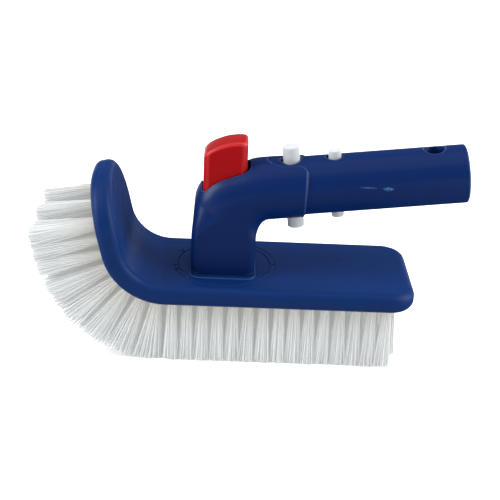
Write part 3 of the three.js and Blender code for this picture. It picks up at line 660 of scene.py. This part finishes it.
def tuft_stations(row):
    shift = TUFT_PITCH / 2 if row % 2 else 0
    first = BACK_END_X - TUFT_START_X - shift
    last = FLAT_LENGTH + CURVE_ANGLE * CURVE_OUTER_R + TUFT_END_UP
    stations = np.arange(first, last + 1e-6, TUFT_PITCH)
    if row == (ROW_COUNT - 1) / 2:
        stations = stations[np.abs(BACK_END_X - stations) > WASHER_R + 2.2 + 1]
    return stations


def tuft_frame(distance, y):
    """Matrix of a tuft: X along the J, Y across it, Z straight out of the bristle face."""
    turn = min(max((distance - FLAT_LENGTH) / CURVE_OUTER_R, 0), CURVE_ANGLE)
    along = Vector((-math.cos(turn), 0, math.sin(turn)))
    out = Vector((-math.sin(turn), 0, -math.cos(turn)))
    across = out.cross(along)
    root = along_j(distance, CURVE_OUTER_R, CURVE_OUTER_R, y)
    return Matrix.Translation(root) @ Matrix((along, across, out)).transposed().to_4x4(), turn


def row_y(row):
    return (row - (ROW_COUNT - 1) / 2) * ROW_PITCH


def tuft_hole_tool():
    """Every tuft's hole: a short blind hole with a softly broken mouth."""
    profile = [(0, -TUFT_HOLE_DEPTH), (TUFT_HOLE_R, -TUFT_HOLE_DEPTH), (TUFT_HOLE_R, -0.35),
               (TUFT_HOLE_R + 0.1, -0.12), (TUFT_HOLE_R + 0.35, 0.1), (TUFT_HOLE_R + 0.5, 1), (0, 1)]
    holes = []
    for row in range(ROW_COUNT):
        for distance in tuft_stations(row):
            matrix, _ = tuft_frame(distance, row_y(row))
            holes.append(place(lathe("hole", profile, 24), matrix))
    return merged("holes", holes)


def end_stations(count, corner):
    """Distances from an end of the J, closer together towards it, so that its corners are round."""
    return corner * (1 - np.cos(np.linspace(0, 90, count + 1) * DEG))


def brush_back():
    curve = CURVE_ANGLE * MIDDLE_R
    total = FLAT_LENGTH + curve + UPRIGHT_LENGTH
    stations = [*end_stations(26, BACK_CORNER_R), *np.linspace(BACK_CORNER_R, FLAT_LENGTH, 14)]
    stations += [*(FLAT_LENGTH + np.linspace(0, curve, 49)), *(total - end_stations(40, ARCH_R))]
    stations = sorted(set(round(float(d), 6) for d in stations))
    back = loft("back_moulding", [back_ring(d, total) for d in stations])
    boolean(back, [*dial_tools(), *socket_tools(), tuft_hole_tool()])
    clean(back, 0.001)
    return finish_piece(back, "brush_head", BLUE, ["brush_back"], 32)


# ---- bristles --------------------------------------------------------------------------

SEED = 4100
SIDES = 5
ALONG = np.array([0.0, 0.2, 0.45, 0.72, 0.985, 1.0])  # a filament's rings, from root to tip
TAPER = np.array([0.7, 0.88, 1.0, 1.0, 1.0, 0.6])  # and their radii, as parts of FILAMENT_R
TIP_ALONG, TIP_ACROSS = 4.3, 5.5  # half the size of a straight tuft's tip
MORE_ON_CURVE, MORE_ON_UPRIGHT = 3.0, 0.7  # what fanning out adds to TIP_ALONG
TIP_SCATTER, LENGTH_SCATTER, BOW = 0.2, 0.17, 0.13
SHORT_SHARE, SHORTER_BY = 0.12, 0.6
ROOT_Z = 0.3 - TUFT_HOLE_DEPTH
FLOOR_Z = -ORIGIN.z / MM


def tuft_filaments(rng, distance, y):
    """Ring centres of one tuft's filaments, shape (filaments, rings, 3), and their frame. The
    tuft goes from a round root to a square tip, and none of it reaches below the floor."""
    matrix, turn = tuft_frame(distance, y)
    on_curve = min(3.2 * math.sin(turn / CURVE_ANGLE * math.pi), 1)
    grown = smooth(turn, 0, 0.4 * CURVE_ANGLE)
    length = lerp(TUFT_LENGTH, TUFT_LENGTH_CURVE, grown)
    k = np.arange(FILAMENTS)
    r = np.sqrt((k + 0.5) / FILAMENTS)
    a = k * math.pi * (3 - math.sqrt(5)) + rng.uniform(0, 6.28)
    disc = np.stack([r * np.cos(a), r * np.sin(a)], 1)
    root = disc * TUFT_ROOT_R + rng.normal(0, 0.05, disc.shape)
    reach = np.array([TIP_ALONG + MORE_ON_UPRIGHT * grown + MORE_ON_CURVE * on_curve, TIP_ACROSS])
    square = disc / np.maximum(np.abs(np.cos(a)), np.abs(np.sin(a)))[:, None] ** 0.8
    tip = square * reach * rng.uniform(0.93, 1.03, (FILAMENTS, 1))
    tip += rng.normal(0, TIP_SCATTER, disc.shape)
    tip += rng.normal(0, TIP_SCATTER, 2)
    full = length + 0.3 + rng.normal(0, 0.12) + rng.normal(0, LENGTH_SCATTER, FILAMENTS)
    full -= np.abs(rng.normal(0, SHORTER_BY, FILAMENTS)) * (rng.random(FILAMENTS) < SHORT_SHARE)
    matrix = np.array(matrix)
    below = FLOOR_Z + FILAMENT_R - (tip @ matrix[2, :2] + full * matrix[2, 2] + matrix[2, 3])
    full -= np.maximum(below, 0) / max(-matrix[2, 2], 0.3)
    bow = rng.normal(0, BOW, (FILAMENTS, 2))
    t = ALONG[None, :, None]
    side = root[:, None] + (tip - root)[:, None] * t ** (1.06 - 0.16 * grown)
    side += bow[:, None] * np.sin(math.pi * t)
    up = lerp(ROOT_Z, full[:, None], ALONG[None])
    return np.concatenate([side, up[:, :, None]], 2), matrix


def bristle_row(row):
    rng = np.random.default_rng(SEED + row)
    a = np.arange(SIDES) * 2 * math.pi / SIDES
    radius = FILAMENT_R * TAPER
    rings = len(ALONG)
    verts, tones = [], []
    for distance in tuft_stations(row):
        centres, matrix = tuft_filaments(rng, distance, row_y(row))
        turned = a[None, :] + rng.uniform(0, 6.28, (FILAMENTS, 1))
        circle = np.stack([np.cos(turned), np.sin(turned), np.zeros_like(turned)], 2)
        points = centres[:, :, None] + circle[:, None] * radius[None, :, None, None]
        points = points.reshape(-1, 3) @ matrix[:3, :3].T + matrix[:3, 3]
        verts.append(points)
        tones.append(np.repeat(np.clip(rng.normal(0.55, 0.25, FILAMENTS), 0, 1), rings * SIDES))
    verts = np.concatenate(verts)
    count = len(verts) // (rings * SIDES)
    j = np.arange(SIDES)
    after = (j + 1) % SIDES
    quads = np.concatenate([
        np.stack([i * SIDES + j, (i + 1) * SIDES + j, (i + 1) * SIDES + after, i * SIDES + after], 1)
        for i in range(rings - 1)])
    start = (np.arange(count) * rings * SIDES)[:, None]
    sides = (start[:, :, None] + quads[None]).reshape(-1, 4).tolist()
    roots = (start + j[None]).tolist()
    tips = (start + (rings - 1) * SIDES + j[None, ::-1]).tolist()
    obj = mesh_object(f"bristles_{row + 1}", verts, sides + roots + tips)
    store(obj.data, "tone", np.concatenate(tones))
    store(obj.data, "along", np.tile(np.repeat(ALONG, SIDES), count))
    bm = bmesh.new()
    bm.from_mesh(obj.data)
    if bm.calc_volume(signed=True) < 0:
        bmesh.ops.reverse_faces(bm, faces=bm.faces)
    bm.to_mesh(obj.data)
    bm.free()
    node = f"bristle_row_{row + 1}"
    return finish_piece(obj, "brush_head", FILAMENT, [node], 80)


# ---- handle ----------------------------------------------------------------------------

TUBE_DIR = (math.cos(TUBE_TILT), math.sin(TUBE_TILT))
ELBOW_ANGLE = 90 * DEG - TUBE_TILT
ELBOW_TO_AXIS = (TUBE_AXIS_Z - ELBOW_CENTRE[1]) * TUBE_DIR[0] + ELBOW_CENTRE[0] * TUBE_DIR[1]


def elbow_section(angle, draw_in=0.0, per_corner=22):
    """A section of the post and elbow, a rectangle with oval corners, turned by `angle`
    about the elbow's inner corner."""
    deg = angle / DEG
    t = angle / ELBOW_ANGLE
    ease = smooth(t, 0.35, 1)
    inner = lerp(ELBOW_CENTRE[0] - POST_RIGHT, ELBOW_TO_AXIS - COLLAR_R, t)
    outer = lerp(ELBOW_CENTRE[0] + POST_LEFT, ELBOW_TO_AXIS + COLLAR_R, t)
    off = min(max((deg - ELBOW_SWELL_DEG) / ELBOW_SWELL_SPAN, -1), 1)
    outer += ELBOW_SWELL * math.cos(off * math.pi / 2) ** 3
    depth = lerp(POST_HALF_DEPTH, COLLAR_R, ease)
    swell = smooth(deg, 0, ELBOW_SWELL_DEG)
    reach = lerp(lerp(POST_EDGE_R, ELBOW_EDGE_R, swell), COLLAR_R, ease)
    across = min(lerp(lerp(POST_EDGE_R, depth, swell), COLLAR_R, ease), depth)
    inner_r = lerp(POST_EDGE_R, COLLAR_R, smooth(t, 0, 1))
    half_span = (outer - inner) / 2
    rounds = ((min(reach, half_span), across), (min(inner_r, half_span), min(inner_r, depth)))
    points = []
    for corner in range(4):
        outside = corner in (0, 3)
        ru, rv = rounds[0] if outside else rounds[1]
        cu = outer - ru if outside else inner + ru
        cv = (1 if corner < 2 else -1) * (depth - rv)
        for k in range(per_corner + 1):
            a = (corner + k / per_corner) * 90 * DEG
            u = cu + (ru - draw_in) * math.cos(a)
            v = cv + (rv - draw_in) * math.sin(a)
            points.append((-u * math.cos(angle), v, u * math.sin(angle)))
    return np.array(points) + (ELBOW_CENTRE[0], 0, ELBOW_CENTRE[1])


def notch_tool():
    """The long rounded cut back from the collar's end, flared where it meets the end."""
    reach, half = NOTCH_HALF
    end = COLLAR_END_X / TUBE_DIR[0] + COLLAR_R * math.tan(TUBE_TILT)
    flare_x, flare_y, r = end - NOTCH_FLARE_R, half + NOTCH_FLARE_R, NOTCH_FLARE_R
    steps = 40
    shape = []
    for k in range(steps + 1):
        a = (90 + 180 * k / steps) * DEG
        shape.append((NOTCH_MIDDLE + reach * math.cos(a), half * math.sin(a)))
    for k in range(steps // 2 + 1):
        a = (90 - 90 * k / (steps // 2)) * DEG
        shape.append((flare_x + r * math.cos(a), -flare_y + r * math.sin(a)))
    shape += [(end + 1, -flare_y), (end + 1, flare_y)]
    for k in range(steps // 2 + 1):
        a = -90 * k / (steps // 2) * DEG
        shape.append((flare_x + r * math.cos(a), flare_y + r * math.sin(a)))
    tool = place(loft("notch", [[(*p, z) for p in shape] for z in (0, COLLAR_R + 4)]), TUBE_FRAME)
    return boolean(tool, [tube_bar(TUBE_R, 0, TUBE_END)])


def tube_bar(r, start, end):
    return place(rod("bar", r, start, end, 256), TUBE_FRAME @ ALONG_X)


def cross_hole(r, at):
    """A hole through both walls of the tube."""
    return place(rod("cross_hole", r, -30, 30), TUBE_FRAME @ Matrix.Translation((at, 0, 0)))


def cavity_outline(clearance=0.0):
    """The room inside the post's foot, or what fits in it with a clearance."""
    half_x, half_y = CAVITY_HALF[0] - clearance, CAVITY_HALF[1] - clearance
    return rounded((-half_x, half_x), half_y, CAVITY_R - clearance)


def plate_screw_places():
    x, y = PLATE_SCREW_AT
    return ((x, y), (-x, y), (-x, -y), (x, -y))


def handle():
    rings = [elbow_section(0)]
    rings[0][:, 2] = POST_FOOT_Z
    rings += [elbow_section(t * ELBOW_ANGLE) for t in np.linspace(0, 1, 91)]
    end = rings[-1].copy()
    along = np.array((TUBE_DIR[0], 0, TUBE_DIR[1]))
    end += along * ((COLLAR_END_X - end[:, 0]) / along[0])[:, None]
    rings += [lerp(rings[-1], end, f) for f in (0.25, 0.5, 0.75, 1)]
    skin = loft("handle_moulding", rings)
    rim = 0.9
    outside = [(0, BORE_FLOOR), (TUBE_R, BORE_FLOOR), (TUBE_R, TUBE_END - rim)]
    outside += [(TUBE_R - rim * (1 - math.cos(a)), TUBE_END - rim * (1 - math.sin(a)))
                for a in np.linspace(0, 90 * DEG, 6)[1:]]
    tube = place(lathe("tube", [*outside, (0, TUBE_END)], 256), TUBE_FRAME @ ALONG_X)
    boolean(skin, [tube], "UNION")
    hole_r, hole_top = PLATE_SCREW_R + GAP, PLATE_SCREW_Z[2] + GAP
    screws = [place(rod("hole", hole_r, 0, hole_top, 32), Matrix.Translation((x, y, 0)))
              for x, y in plate_screw_places()]
    low, above = CAVITY_TOP - 1, 80
    boolean(skin, [
        tube_bar(TUBE_BORE_R, BORE_FLOOR, TUBE_END + 1),
        notch_tool(),
        cross_hole(BIG_PIN_R + PIN_PLAY, BIG_PIN_AT + PIN_HOLE_SHIFT),
        cross_hole(SMALL_PIN_R + PIN_PLAY, SMALL_PIN_AT + PIN_HOLE_SHIFT),
        cross_hole(HANG_HOLE_R, HANG_HOLE_AT),
        slab("cavity", cavity_outline(), 0, CAVITY_TOP),
        slab("channel", rounded(CHANNEL_X, CHANNEL_HALF_Y, CHANNEL_R), low, above),
        slab("barb_pocket", rounded(BARB_POCKET_X, BARB_POCKET_HALF_Y, 1), low, BARB_POCKET_TOP),
        *screws,
    ])
    soften(skin, 0.4, 6)
    return finish_piece(skin, "handle", HANDLE_BLUE, ["handle"], 60)


# ---- release button, gear and spring ---------------------------------------------------


def button_top(x, y):
    """Height of the button's crowned, sloping top."""
    left, right = BUTTON_X
    width, rise = right - left, BUTTON_RIGHT_Z - BUTTON_LEFT_Z
    chord = math.hypot(width, rise)
    r = chord * chord / (8 * BUTTON_CROWN) + BUTTON_CROWN / 2
    tilt = math.atan2(rise, width)
    below = r - BUTTON_CROWN
    cx = (left + right) / 2 + below * math.sin(tilt)
    cz = (BUTTON_LEFT_Z + BUTTON_RIGHT_Z) / 2 - below * math.cos(tilt)
    return cz + np.sqrt(r * r - (x - cx) ** 2) - 0.35 * (y / BUTTON_HALF_Y) ** 2


def box(name, x, half_y, z):
    return slab(name, rounded(x, half_y, 0.4, per_corner=3), *z, 0.3, 0.3, 3)


def release_button():
    outline = rounded(BUTTON_X, BUTTON_HALF_Y, BUTTON_R, per_corner=14, per_side=22)
    rings = []

    def ring(p, z):
        rings.append(np.column_stack([p, z]))

    foot = outline(0)
    for z in (BUTTON_SKIRT_Z, 46, 52, 56):
        ring(foot, np.full(len(foot), float(z)))
    steps = 8
    for k in range(steps + 1):
        a = k / steps * 90 * DEG
        p = outline(BUTTON_EDGE_R * (1 - math.cos(a)))
        ring(p, button_top(p[:, 0], p[:, 1]) - BUTTON_EDGE_R * (1 - math.sin(a)))
    middle = np.array(((BUTTON_X[0] + BUTTON_X[1]) / 2, 0))
    for f in np.linspace(1, 0, 15)[1:]:
        p = middle + (outline(BUTTON_EDGE_R) - middle) * f
        ring(p, button_top(p[:, 0], p[:, 1]))
    cap = loft("button_moulding", rings)
    inside = (BUTTON_X[0] + BUTTON_WALL, BUTTON_X[1] - BUTTON_WALL)
    boolean(cap, [slab("hollow", rounded(inside, BUTTON_HALF_Y - BUTTON_WALL, 1.2), BUTTON_SKIRT_Z - 1,
                       BUTTON_LEFT_Z - 4, 0, 0.8)])
    boolean(cap, [
        box("leg", LEG_LEFT_X, LEG_HALF_WIDTH, LEG_Z),
        box("leg", LEG_RIGHT_X, LEG_HALF_WIDTH, LEG_Z),
        box("barb", (LEG_LEFT_X[0] - BARB_OUT, LEG_LEFT_X[1]), BARB_HALF_WIDTH, BARB_Z),
        box("barb", (LEG_RIGHT_X[0], LEG_RIGHT_X[1] + BARB_OUT), BARB_HALF_WIDTH, BARB_Z),
    ], "UNION")
    clean(cap, 0.001)
    soften(cap, 0.3, 3)
    return finish_piece(cap, "release_button", RED, ["release_button"], 60)


def toothed(root_r, tip_r, half_root, half_tip, turned):
    """Outline of a toothed ring: radii in millimetres, half widths of a tooth in degrees."""
    points = []
    for k in range(TEETH):
        middle = (k + turned) * 360 / TEETH
        for r, d in ((root_r, -half_root), (tip_r, -half_tip), (tip_r, half_tip), (root_r, half_root)):
            a = (middle + d) * DEG
            points.append((r * math.cos(a), r * math.sin(a)))
    return np.array(points)


def lock_gear():
    gear = slab("lock_ring", cavity_outline(GAP), *GEAR_Z, 0.4, 0.4)
    inside = toothed(TOOTH_TIP_R + GAP, TOOTH_ROOT_R + GAP, 3, 1.6, 0.5)
    boolean(gear, [slab("teeth", drawn_in(inside), GEAR_Z[0] - 1, GEAR_Z[1] + 1)])
    return finish_piece(gear, "lock_gear", ACETAL, ["lock_gear"])


def return_spring():
    wire = SPRING_WIRE / 2
    low, high = SPRING_Z[0] + wire * 1.1, SPRING_Z[1] - wire * 1.1
    steps, sides = SPRING_TURNS * 60, 14
    b = np.arange(sides) * 2 * math.pi / sides
    rings = []
    for k in range(steps + 1):
        t = k / steps
        a = t * SPRING_TURNS * 2 * math.pi
        end = min(t, 1 - t) * steps
        r = wire * math.sqrt(min(1, (end + 0.6) / 4))
        out = np.array((math.cos(a), math.sin(a), 0))
        centre = out * SPRING_R + np.array((0, 0, lerp(low, high, t)))
        rings.append(centre + r * (np.cos(b)[:, None] * out + np.sin(b)[:, None] * np.array((0, 0, 1))))
    spring = finish_piece(loft("spring_wire", rings), "handle", STEEL, ["return_spring"])
    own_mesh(spring)
    return spring


# ---- swivel ----------------------------------------------------------------------------


def pivot_hub():
    flange_z = CORE_TOP + GAP
    top = flange_z + HUB_FLANGE_THICK
    body = lathe("pivot_boss", [
        (0, THRUST_Z[0]), (JOURNAL_R - 0.3, THRUST_Z[0]), (JOURNAL_R, THRUST_Z[0] + 0.3),
        (JOURNAL_R, flange_z), (HUB_FLANGE_R - 0.3, flange_z), (HUB_FLANGE_R, flange_z + 0.3),
        (HUB_FLANGE_R, top - 0.3),
        (HUB_FLANGE_R - 0.3, top), (HUB_NECK_R + 0.6, top), (HUB_NECK_R, top + 0.6),
        (HUB_NECK_R, TOOTH_BAND[0] + 0.5), (0, TOOTH_BAND[0] + 0.5)])
    foot = hexagon(HUB_HEX / math.cos(30 * DEG))
    crown = toothed(TOOTH_ROOT_R, TOOTH_TIP_R, 3.6, 2.2, 0)
    boolean(body, [slab("hex_foot", drawn_in(foot), HUB_FOOT_Z, -1, 0.4, 0),
                   slab("crown", drawn_in(crown), *TOOTH_BAND, 0, 0.5)], "UNION")
    boolean(body, [rod("bore", PIVOT_SCREW_R + GAP, HUB_FOOT_Z - 1, 13, 48)])
    return finish_piece(body, "brush_head", ACETAL, ["pivot_hub"])


def washer(name, inner, outer, low, high, material, slot, node):
    e = 0.15
    profile = [(inner + e, low), (outer - e, low), (outer, low + e), (outer, high - e), (outer - e, high),
               (inner + e, high), (inner, high - e), (inner, low + e)]
    return finish_piece(lathe(name, profile, 96, closed=True), "brush_head", material, [node])


def screw(name, head_r, r, heights, neck_r, body, node, at=(0, 0)):
    """A hex-socket screw standing on its head, with a thread on its shank. Its head is a
    cylinder, or a cone where the neck is as narrow as the shank."""
    z0, z1, z2 = heights
    profile = [(0, z0), (head_r - 0.2, z0), (head_r, z0 + 0.2)]
    profile += [(head_r, z1 - 0.2), (head_r - 0.2, z1)] if neck_r == head_r else []
    z = z1 + 0.4
    profile += [(r, z1), (r, z)]
    pitch = r * 0.3
    while z + pitch < z2 - 0.6:
        profile += [(r * 0.86, z + pitch * 0.5), (r, z + pitch)]
        z += pitch
    profile += [(r * 0.8, z2 - 0.2), (r * 0.6, z2), (0, z2)]
    made = lathe(name, profile, 64)
    boolean(made, [slab("socket", drawn_in(hexagon(r * 0.6)), z0 - 1, z0 + (z1 - z0) * 0.6)])
    place(made, Matrix.Translation((*at, 0)))
    return finish_piece(made, body, STEEL, [node], 25)


def bearing_plate():
    """The disc let into the back, with the plinth that the post stands on."""
    low, top = PLATE_Z[0], PLATE_Z[0] + DISC_THICK
    flange = lathe("turntable", [(0, low), (DISC_R - 0.1, low), (DISC_R, low + 0.1), (DISC_R, top - 0.15),
                                 (DISC_R - 0.05, top - 0.05), (DISC_R - 0.18, top), (0, top)], 160)
    plinth = slab("plinth", rounded(PLATE_X, PLATE_HALF_Y, PLATE_R), low + 0.2, PLATE_Z[1], 0, 0.45, 6)
    boolean(flange, [plinth], "UNION")
    boolean(flange, [slab("core", cavity_outline(GAP), -0.1, CORE_TOP, 0, 0.4)], "UNION")
    hole, above = PLATE_SCREW_R + GAP, CORE_TOP + 1
    sink = [(0, low - 0.01), (2.2, low - 0.01), (hole, 0.3), (hole, above), (0, above)]
    tools = [place(lathe("sink", sink, 40), Matrix.Translation((x, y, 0))) for x, y in plate_screw_places()]
    boolean(flange, [rod("bore", JOURNAL_R + GAP, -1, above), *tools])
    # Painted highlight: the plinth's rim is stored as fully bent outwards, so its material lightens it
    highlight_rim = [-0.06 < v.co.z < PLATE_Z[1] - 0.02 for v in flange.data.vertices]
    store(flange.data, "convex", highlight_rim)
    return finish_piece(flange, "handle", PLINTH_BLUE_HIGHLIT, ["bearing_plate"])


# ---- spring clip -----------------------------------------------------------------------


def pin(at, r, reach):
    """A round pin with a softly rounded rim and a slightly domed end."""
    e = 0.55
    low = ARM_OFFSET - 0.8
    profile = [(0, low), (r, low), (r, ARM_OFFSET + ARM_THICK / 2), (r, reach - e)]
    dome = 0.12
    profile += [(r - e * (1 - math.cos(a)), reach - e * (1 - math.sin(a)) - dome)
                for a in np.linspace(0, 90 * DEG, 7)[1:]]
    profile += [((r - e) * f, reach - dome * f * f) for f in (0.75, 0.5, 0.25, 0)]
    return place(lathe("pin", profile, 72), Matrix.Translation((at, 0, 0)))


def clip_arm(name, side):
    low, high = ARM_OFFSET - ARM_THICK / 2, ARM_OFFSET + ARM_THICK / 2
    arm = slab(name, rounded((ARM_TIP_AT, BOW_AT - GAP), ARM_WIDTH / 2, 1.2), low, high, 0.4, 0.4)
    boolean(arm, [pin(BIG_PIN_AT, BIG_PIN_R, BIG_PIN_REACH),
                  pin(SMALL_PIN_AT, SMALL_PIN_R, SMALL_PIN_REACH)], "UNION")
    if side < 0:
        place(arm, Matrix.Rotation(180 * DEG, 4, "X"))
    place(arm, TUBE_FRAME)
    node = "clip_arm_upper" if side > 0 else "clip_arm_lower"
    return finish_piece(arm, node, WHITE, [node])


def clip_bow():
    section = slot_points((-ARM_THICK / 2, ARM_THICK / 2), ARM_WIDTH / 2, 0.4, 0, 5)
    rings = []
    for a in np.linspace(-90 * DEG, 90 * DEG, 49):
        out = np.array((math.cos(a), 0, math.sin(a)))
        rings.append([out * (ARM_OFFSET + u) + np.array((BOW_AT, v, 0)) for u, v in section])
    bow = place(loft("clip_bend", rings), TUBE_FRAME)
    return finish_piece(bow, "handle", WHITE, ["clip_bow"])


# ---- assembly --------------------------------------------------------------------------

brush_back()
for row in range(ROW_COUNT):
    bristle_row(row)
pivot_hub()
washer("slip_washer", JOURNAL_R + 3 * GAP, THRUST_R, *THRUST_Z, ACETAL, "acetal", "thrust_washer")
washer("head_washer", PIVOT_SCREW_R + GAP, WASHER_R, *WASHER_Z, STEEL, "stainless", "pivot_washer")
screw("pivot_bolt", PIVOT_SCREW_HEAD_R, PIVOT_SCREW_R, PIVOT_SCREW_Z, PIVOT_SCREW_HEAD_R, "brush_head",
      "pivot_screw")
handle()
bearing_plate()
for k, at in enumerate(plate_screw_places()):
    screw(f"plate_bolt_{k + 1}", PLATE_SCREW_HEAD_R, PLATE_SCREW_R, PLATE_SCREW_Z, PLATE_SCREW_R, "handle",
          f"plate_screw_{k + 1}", at)
release_button()
lock_gear()
return_spring()
clip_bow()
clip_arm("clip_leaf_upper", 1)
clip_arm("clip_leaf_lower", -1)

# ---- floor, light and camera -----------------------------------------------------------


def floor():
    """White paper, brighter with distance to the eye alone. Mirror-like reflections see pale
    bands on either side of the object instead, as a studio's reflector cards would give."""
    count = 96
    a = np.linspace(0, 2 * math.pi, count, endpoint=False)
    rings = [np.stack([r * np.cos(a), r * np.sin(a), np.zeros(count)], 1) for r in (0.2, 1, 5, 40)]
    faces = [tuple(range(count))]
    for i in range(len(rings) - 1):
        faces += band(i * count, (i + 1) * count, count)
    obj = mesh_object("floor", np.concatenate(rings), faces)
    n = Nodes("floor_paper")
    n.link(n.mix(n.noise(6, 3), colour(246, 246, 247), colour(249, 249, 249)), n.bsdf, "Base Color")
    n.settings(n.bsdf, {"Roughness": 0.9, "Specular IOR Level": 0.2, "Emission Color": (1, 1, 1, 1)})
    distance = n.add("VectorMath", operation="LENGTH")
    n.link(n.coords, distance, 0)
    glow = n.spread(distance.outputs["Value"], 0.1, 0.9, 0.14, 0.8)
    path = n.add("LightPath")
    n.link(n.maths("MULTIPLY", glow, path.outputs["Is Camera Ray"]), n.bsdf, "Emission Strength")
    aside = n.add("SeparateXYZ")
    n.link(n.coords, aside, 0)
    bands = n.spread(n.maths("ABSOLUTE", aside.outputs["X"], 0), 0.04, 1.8, 0.14, 0.32)
    dim = n.add("Emission")
    n.link(bands, dim, "Strength")
    shader = n.add("MixShader")
    n.link(path.outputs["Is Glossy Ray"], shader, 0)
    n.link(n.bsdf.outputs[0], shader, 1)
    n.link(dim.outputs[0], shader, 2)
    n.link(shader.outputs[0], n.output, "Surface")
    obj.data.materials.append(n.material)


def softbox(name, at, aim, size, watts):
    data = bpy.data.lights.new(name, "AREA")
    data.shape = "RECTANGLE"
    data.size, data.size_y = size
    data.energy = watts
    obj = bpy.data.objects.new(name, data)
    obj.location = at
    obj.rotation_euler = (Vector(aim) - Vector(at)).to_track_quat("-Z", "Y").to_euler()
    bpy.context.scene.collection.objects.link(obj)
    return obj


def world(lit, mirrored):
    """A white surround: full strength to the eye, `lit` as light on the object, and
    `mirrored` in its reflections, since a real room is darker than its backdrop."""
    made = bpy.data.worlds.new("studio")
    made.use_nodes = True
    nodes, links = made.node_tree.nodes, made.node_tree.links
    path = nodes.new("ShaderNodeLightPath")
    strength = None
    for output, off, on in (("Is Glossy Ray", lit, mirrored), ("Is Camera Ray", None, 1.0)):
        mix = nodes.new("ShaderNodeMix")
        links.new(path.outputs[output], mix.inputs[0])
        if strength:
            links.new(strength, mix.inputs[2])
        else:
            mix.inputs[2].default_value = off
        mix.inputs[3].default_value = on
        strength = mix.outputs[0]
    background = nodes["Background"]
    background.inputs[0].default_value = (1, 1, 1, 1)
    links.new(strength, background.inputs[1])
    bpy.context.scene.world = made


def camera():
    """The viewing angle, with the object leaning 2.8 degrees clockwise in the frame."""
    azimuth, elevation, roll = -1.49 * DEG, 25.28 * DEG, 2.81 * DEG
    distance, lens, target = 557.1, 77.506, Vector((13.18, 0, 7.89))
    level = math.cos(elevation)
    back = Vector((math.sin(azimuth) * level, -math.cos(azimuth) * level, math.sin(elevation)))
    right = Vector((math.cos(azimuth), math.sin(azimuth), 0))
    up = back.cross(right)
    turned_right = math.cos(roll) * right + math.sin(roll) * up
    turned_up = -math.sin(roll) * right + math.cos(roll) * up
    data = bpy.data.cameras.new("camera")
    data.lens, data.sensor_width = lens, 36
    data.clip_start, data.clip_end = 0.01, 100
    obj = bpy.data.objects.new("camera", data)
    rotation = Matrix((turned_right, turned_up, back)).transposed().to_4x4()
    obj.matrix_world = Matrix.Translation(TO_FRAME @ (target + back * distance)) @ rotation
    bpy.context.scene.collection.objects.link(obj)
    bpy.context.scene.camera = obj


floor()
world(0.28, 0.22)
centre = (CAD_BOX[0] + CAD_BOX[1]) / 2
softbox("top_light", centre + Vector((0.0, -0.05, 0.85)), centre, (1.6, 0.9), 4.6)
softbox("left_light", centre + Vector((-0.8, -0.2, 0.45)), centre, (0.4, 0.7), 11)
softbox("right_light", centre + Vector((0.9, -0.12, 0.42)), centre, (0.8, 0.9), 15.5)
softbox("back_light", centre + Vector((0.1, 0.85, 0.62)), centre, (1.4, 0.5), 11).visible_glossy = False
camera()
bpy.context.scene.view_settings.view_transform = "Standard"
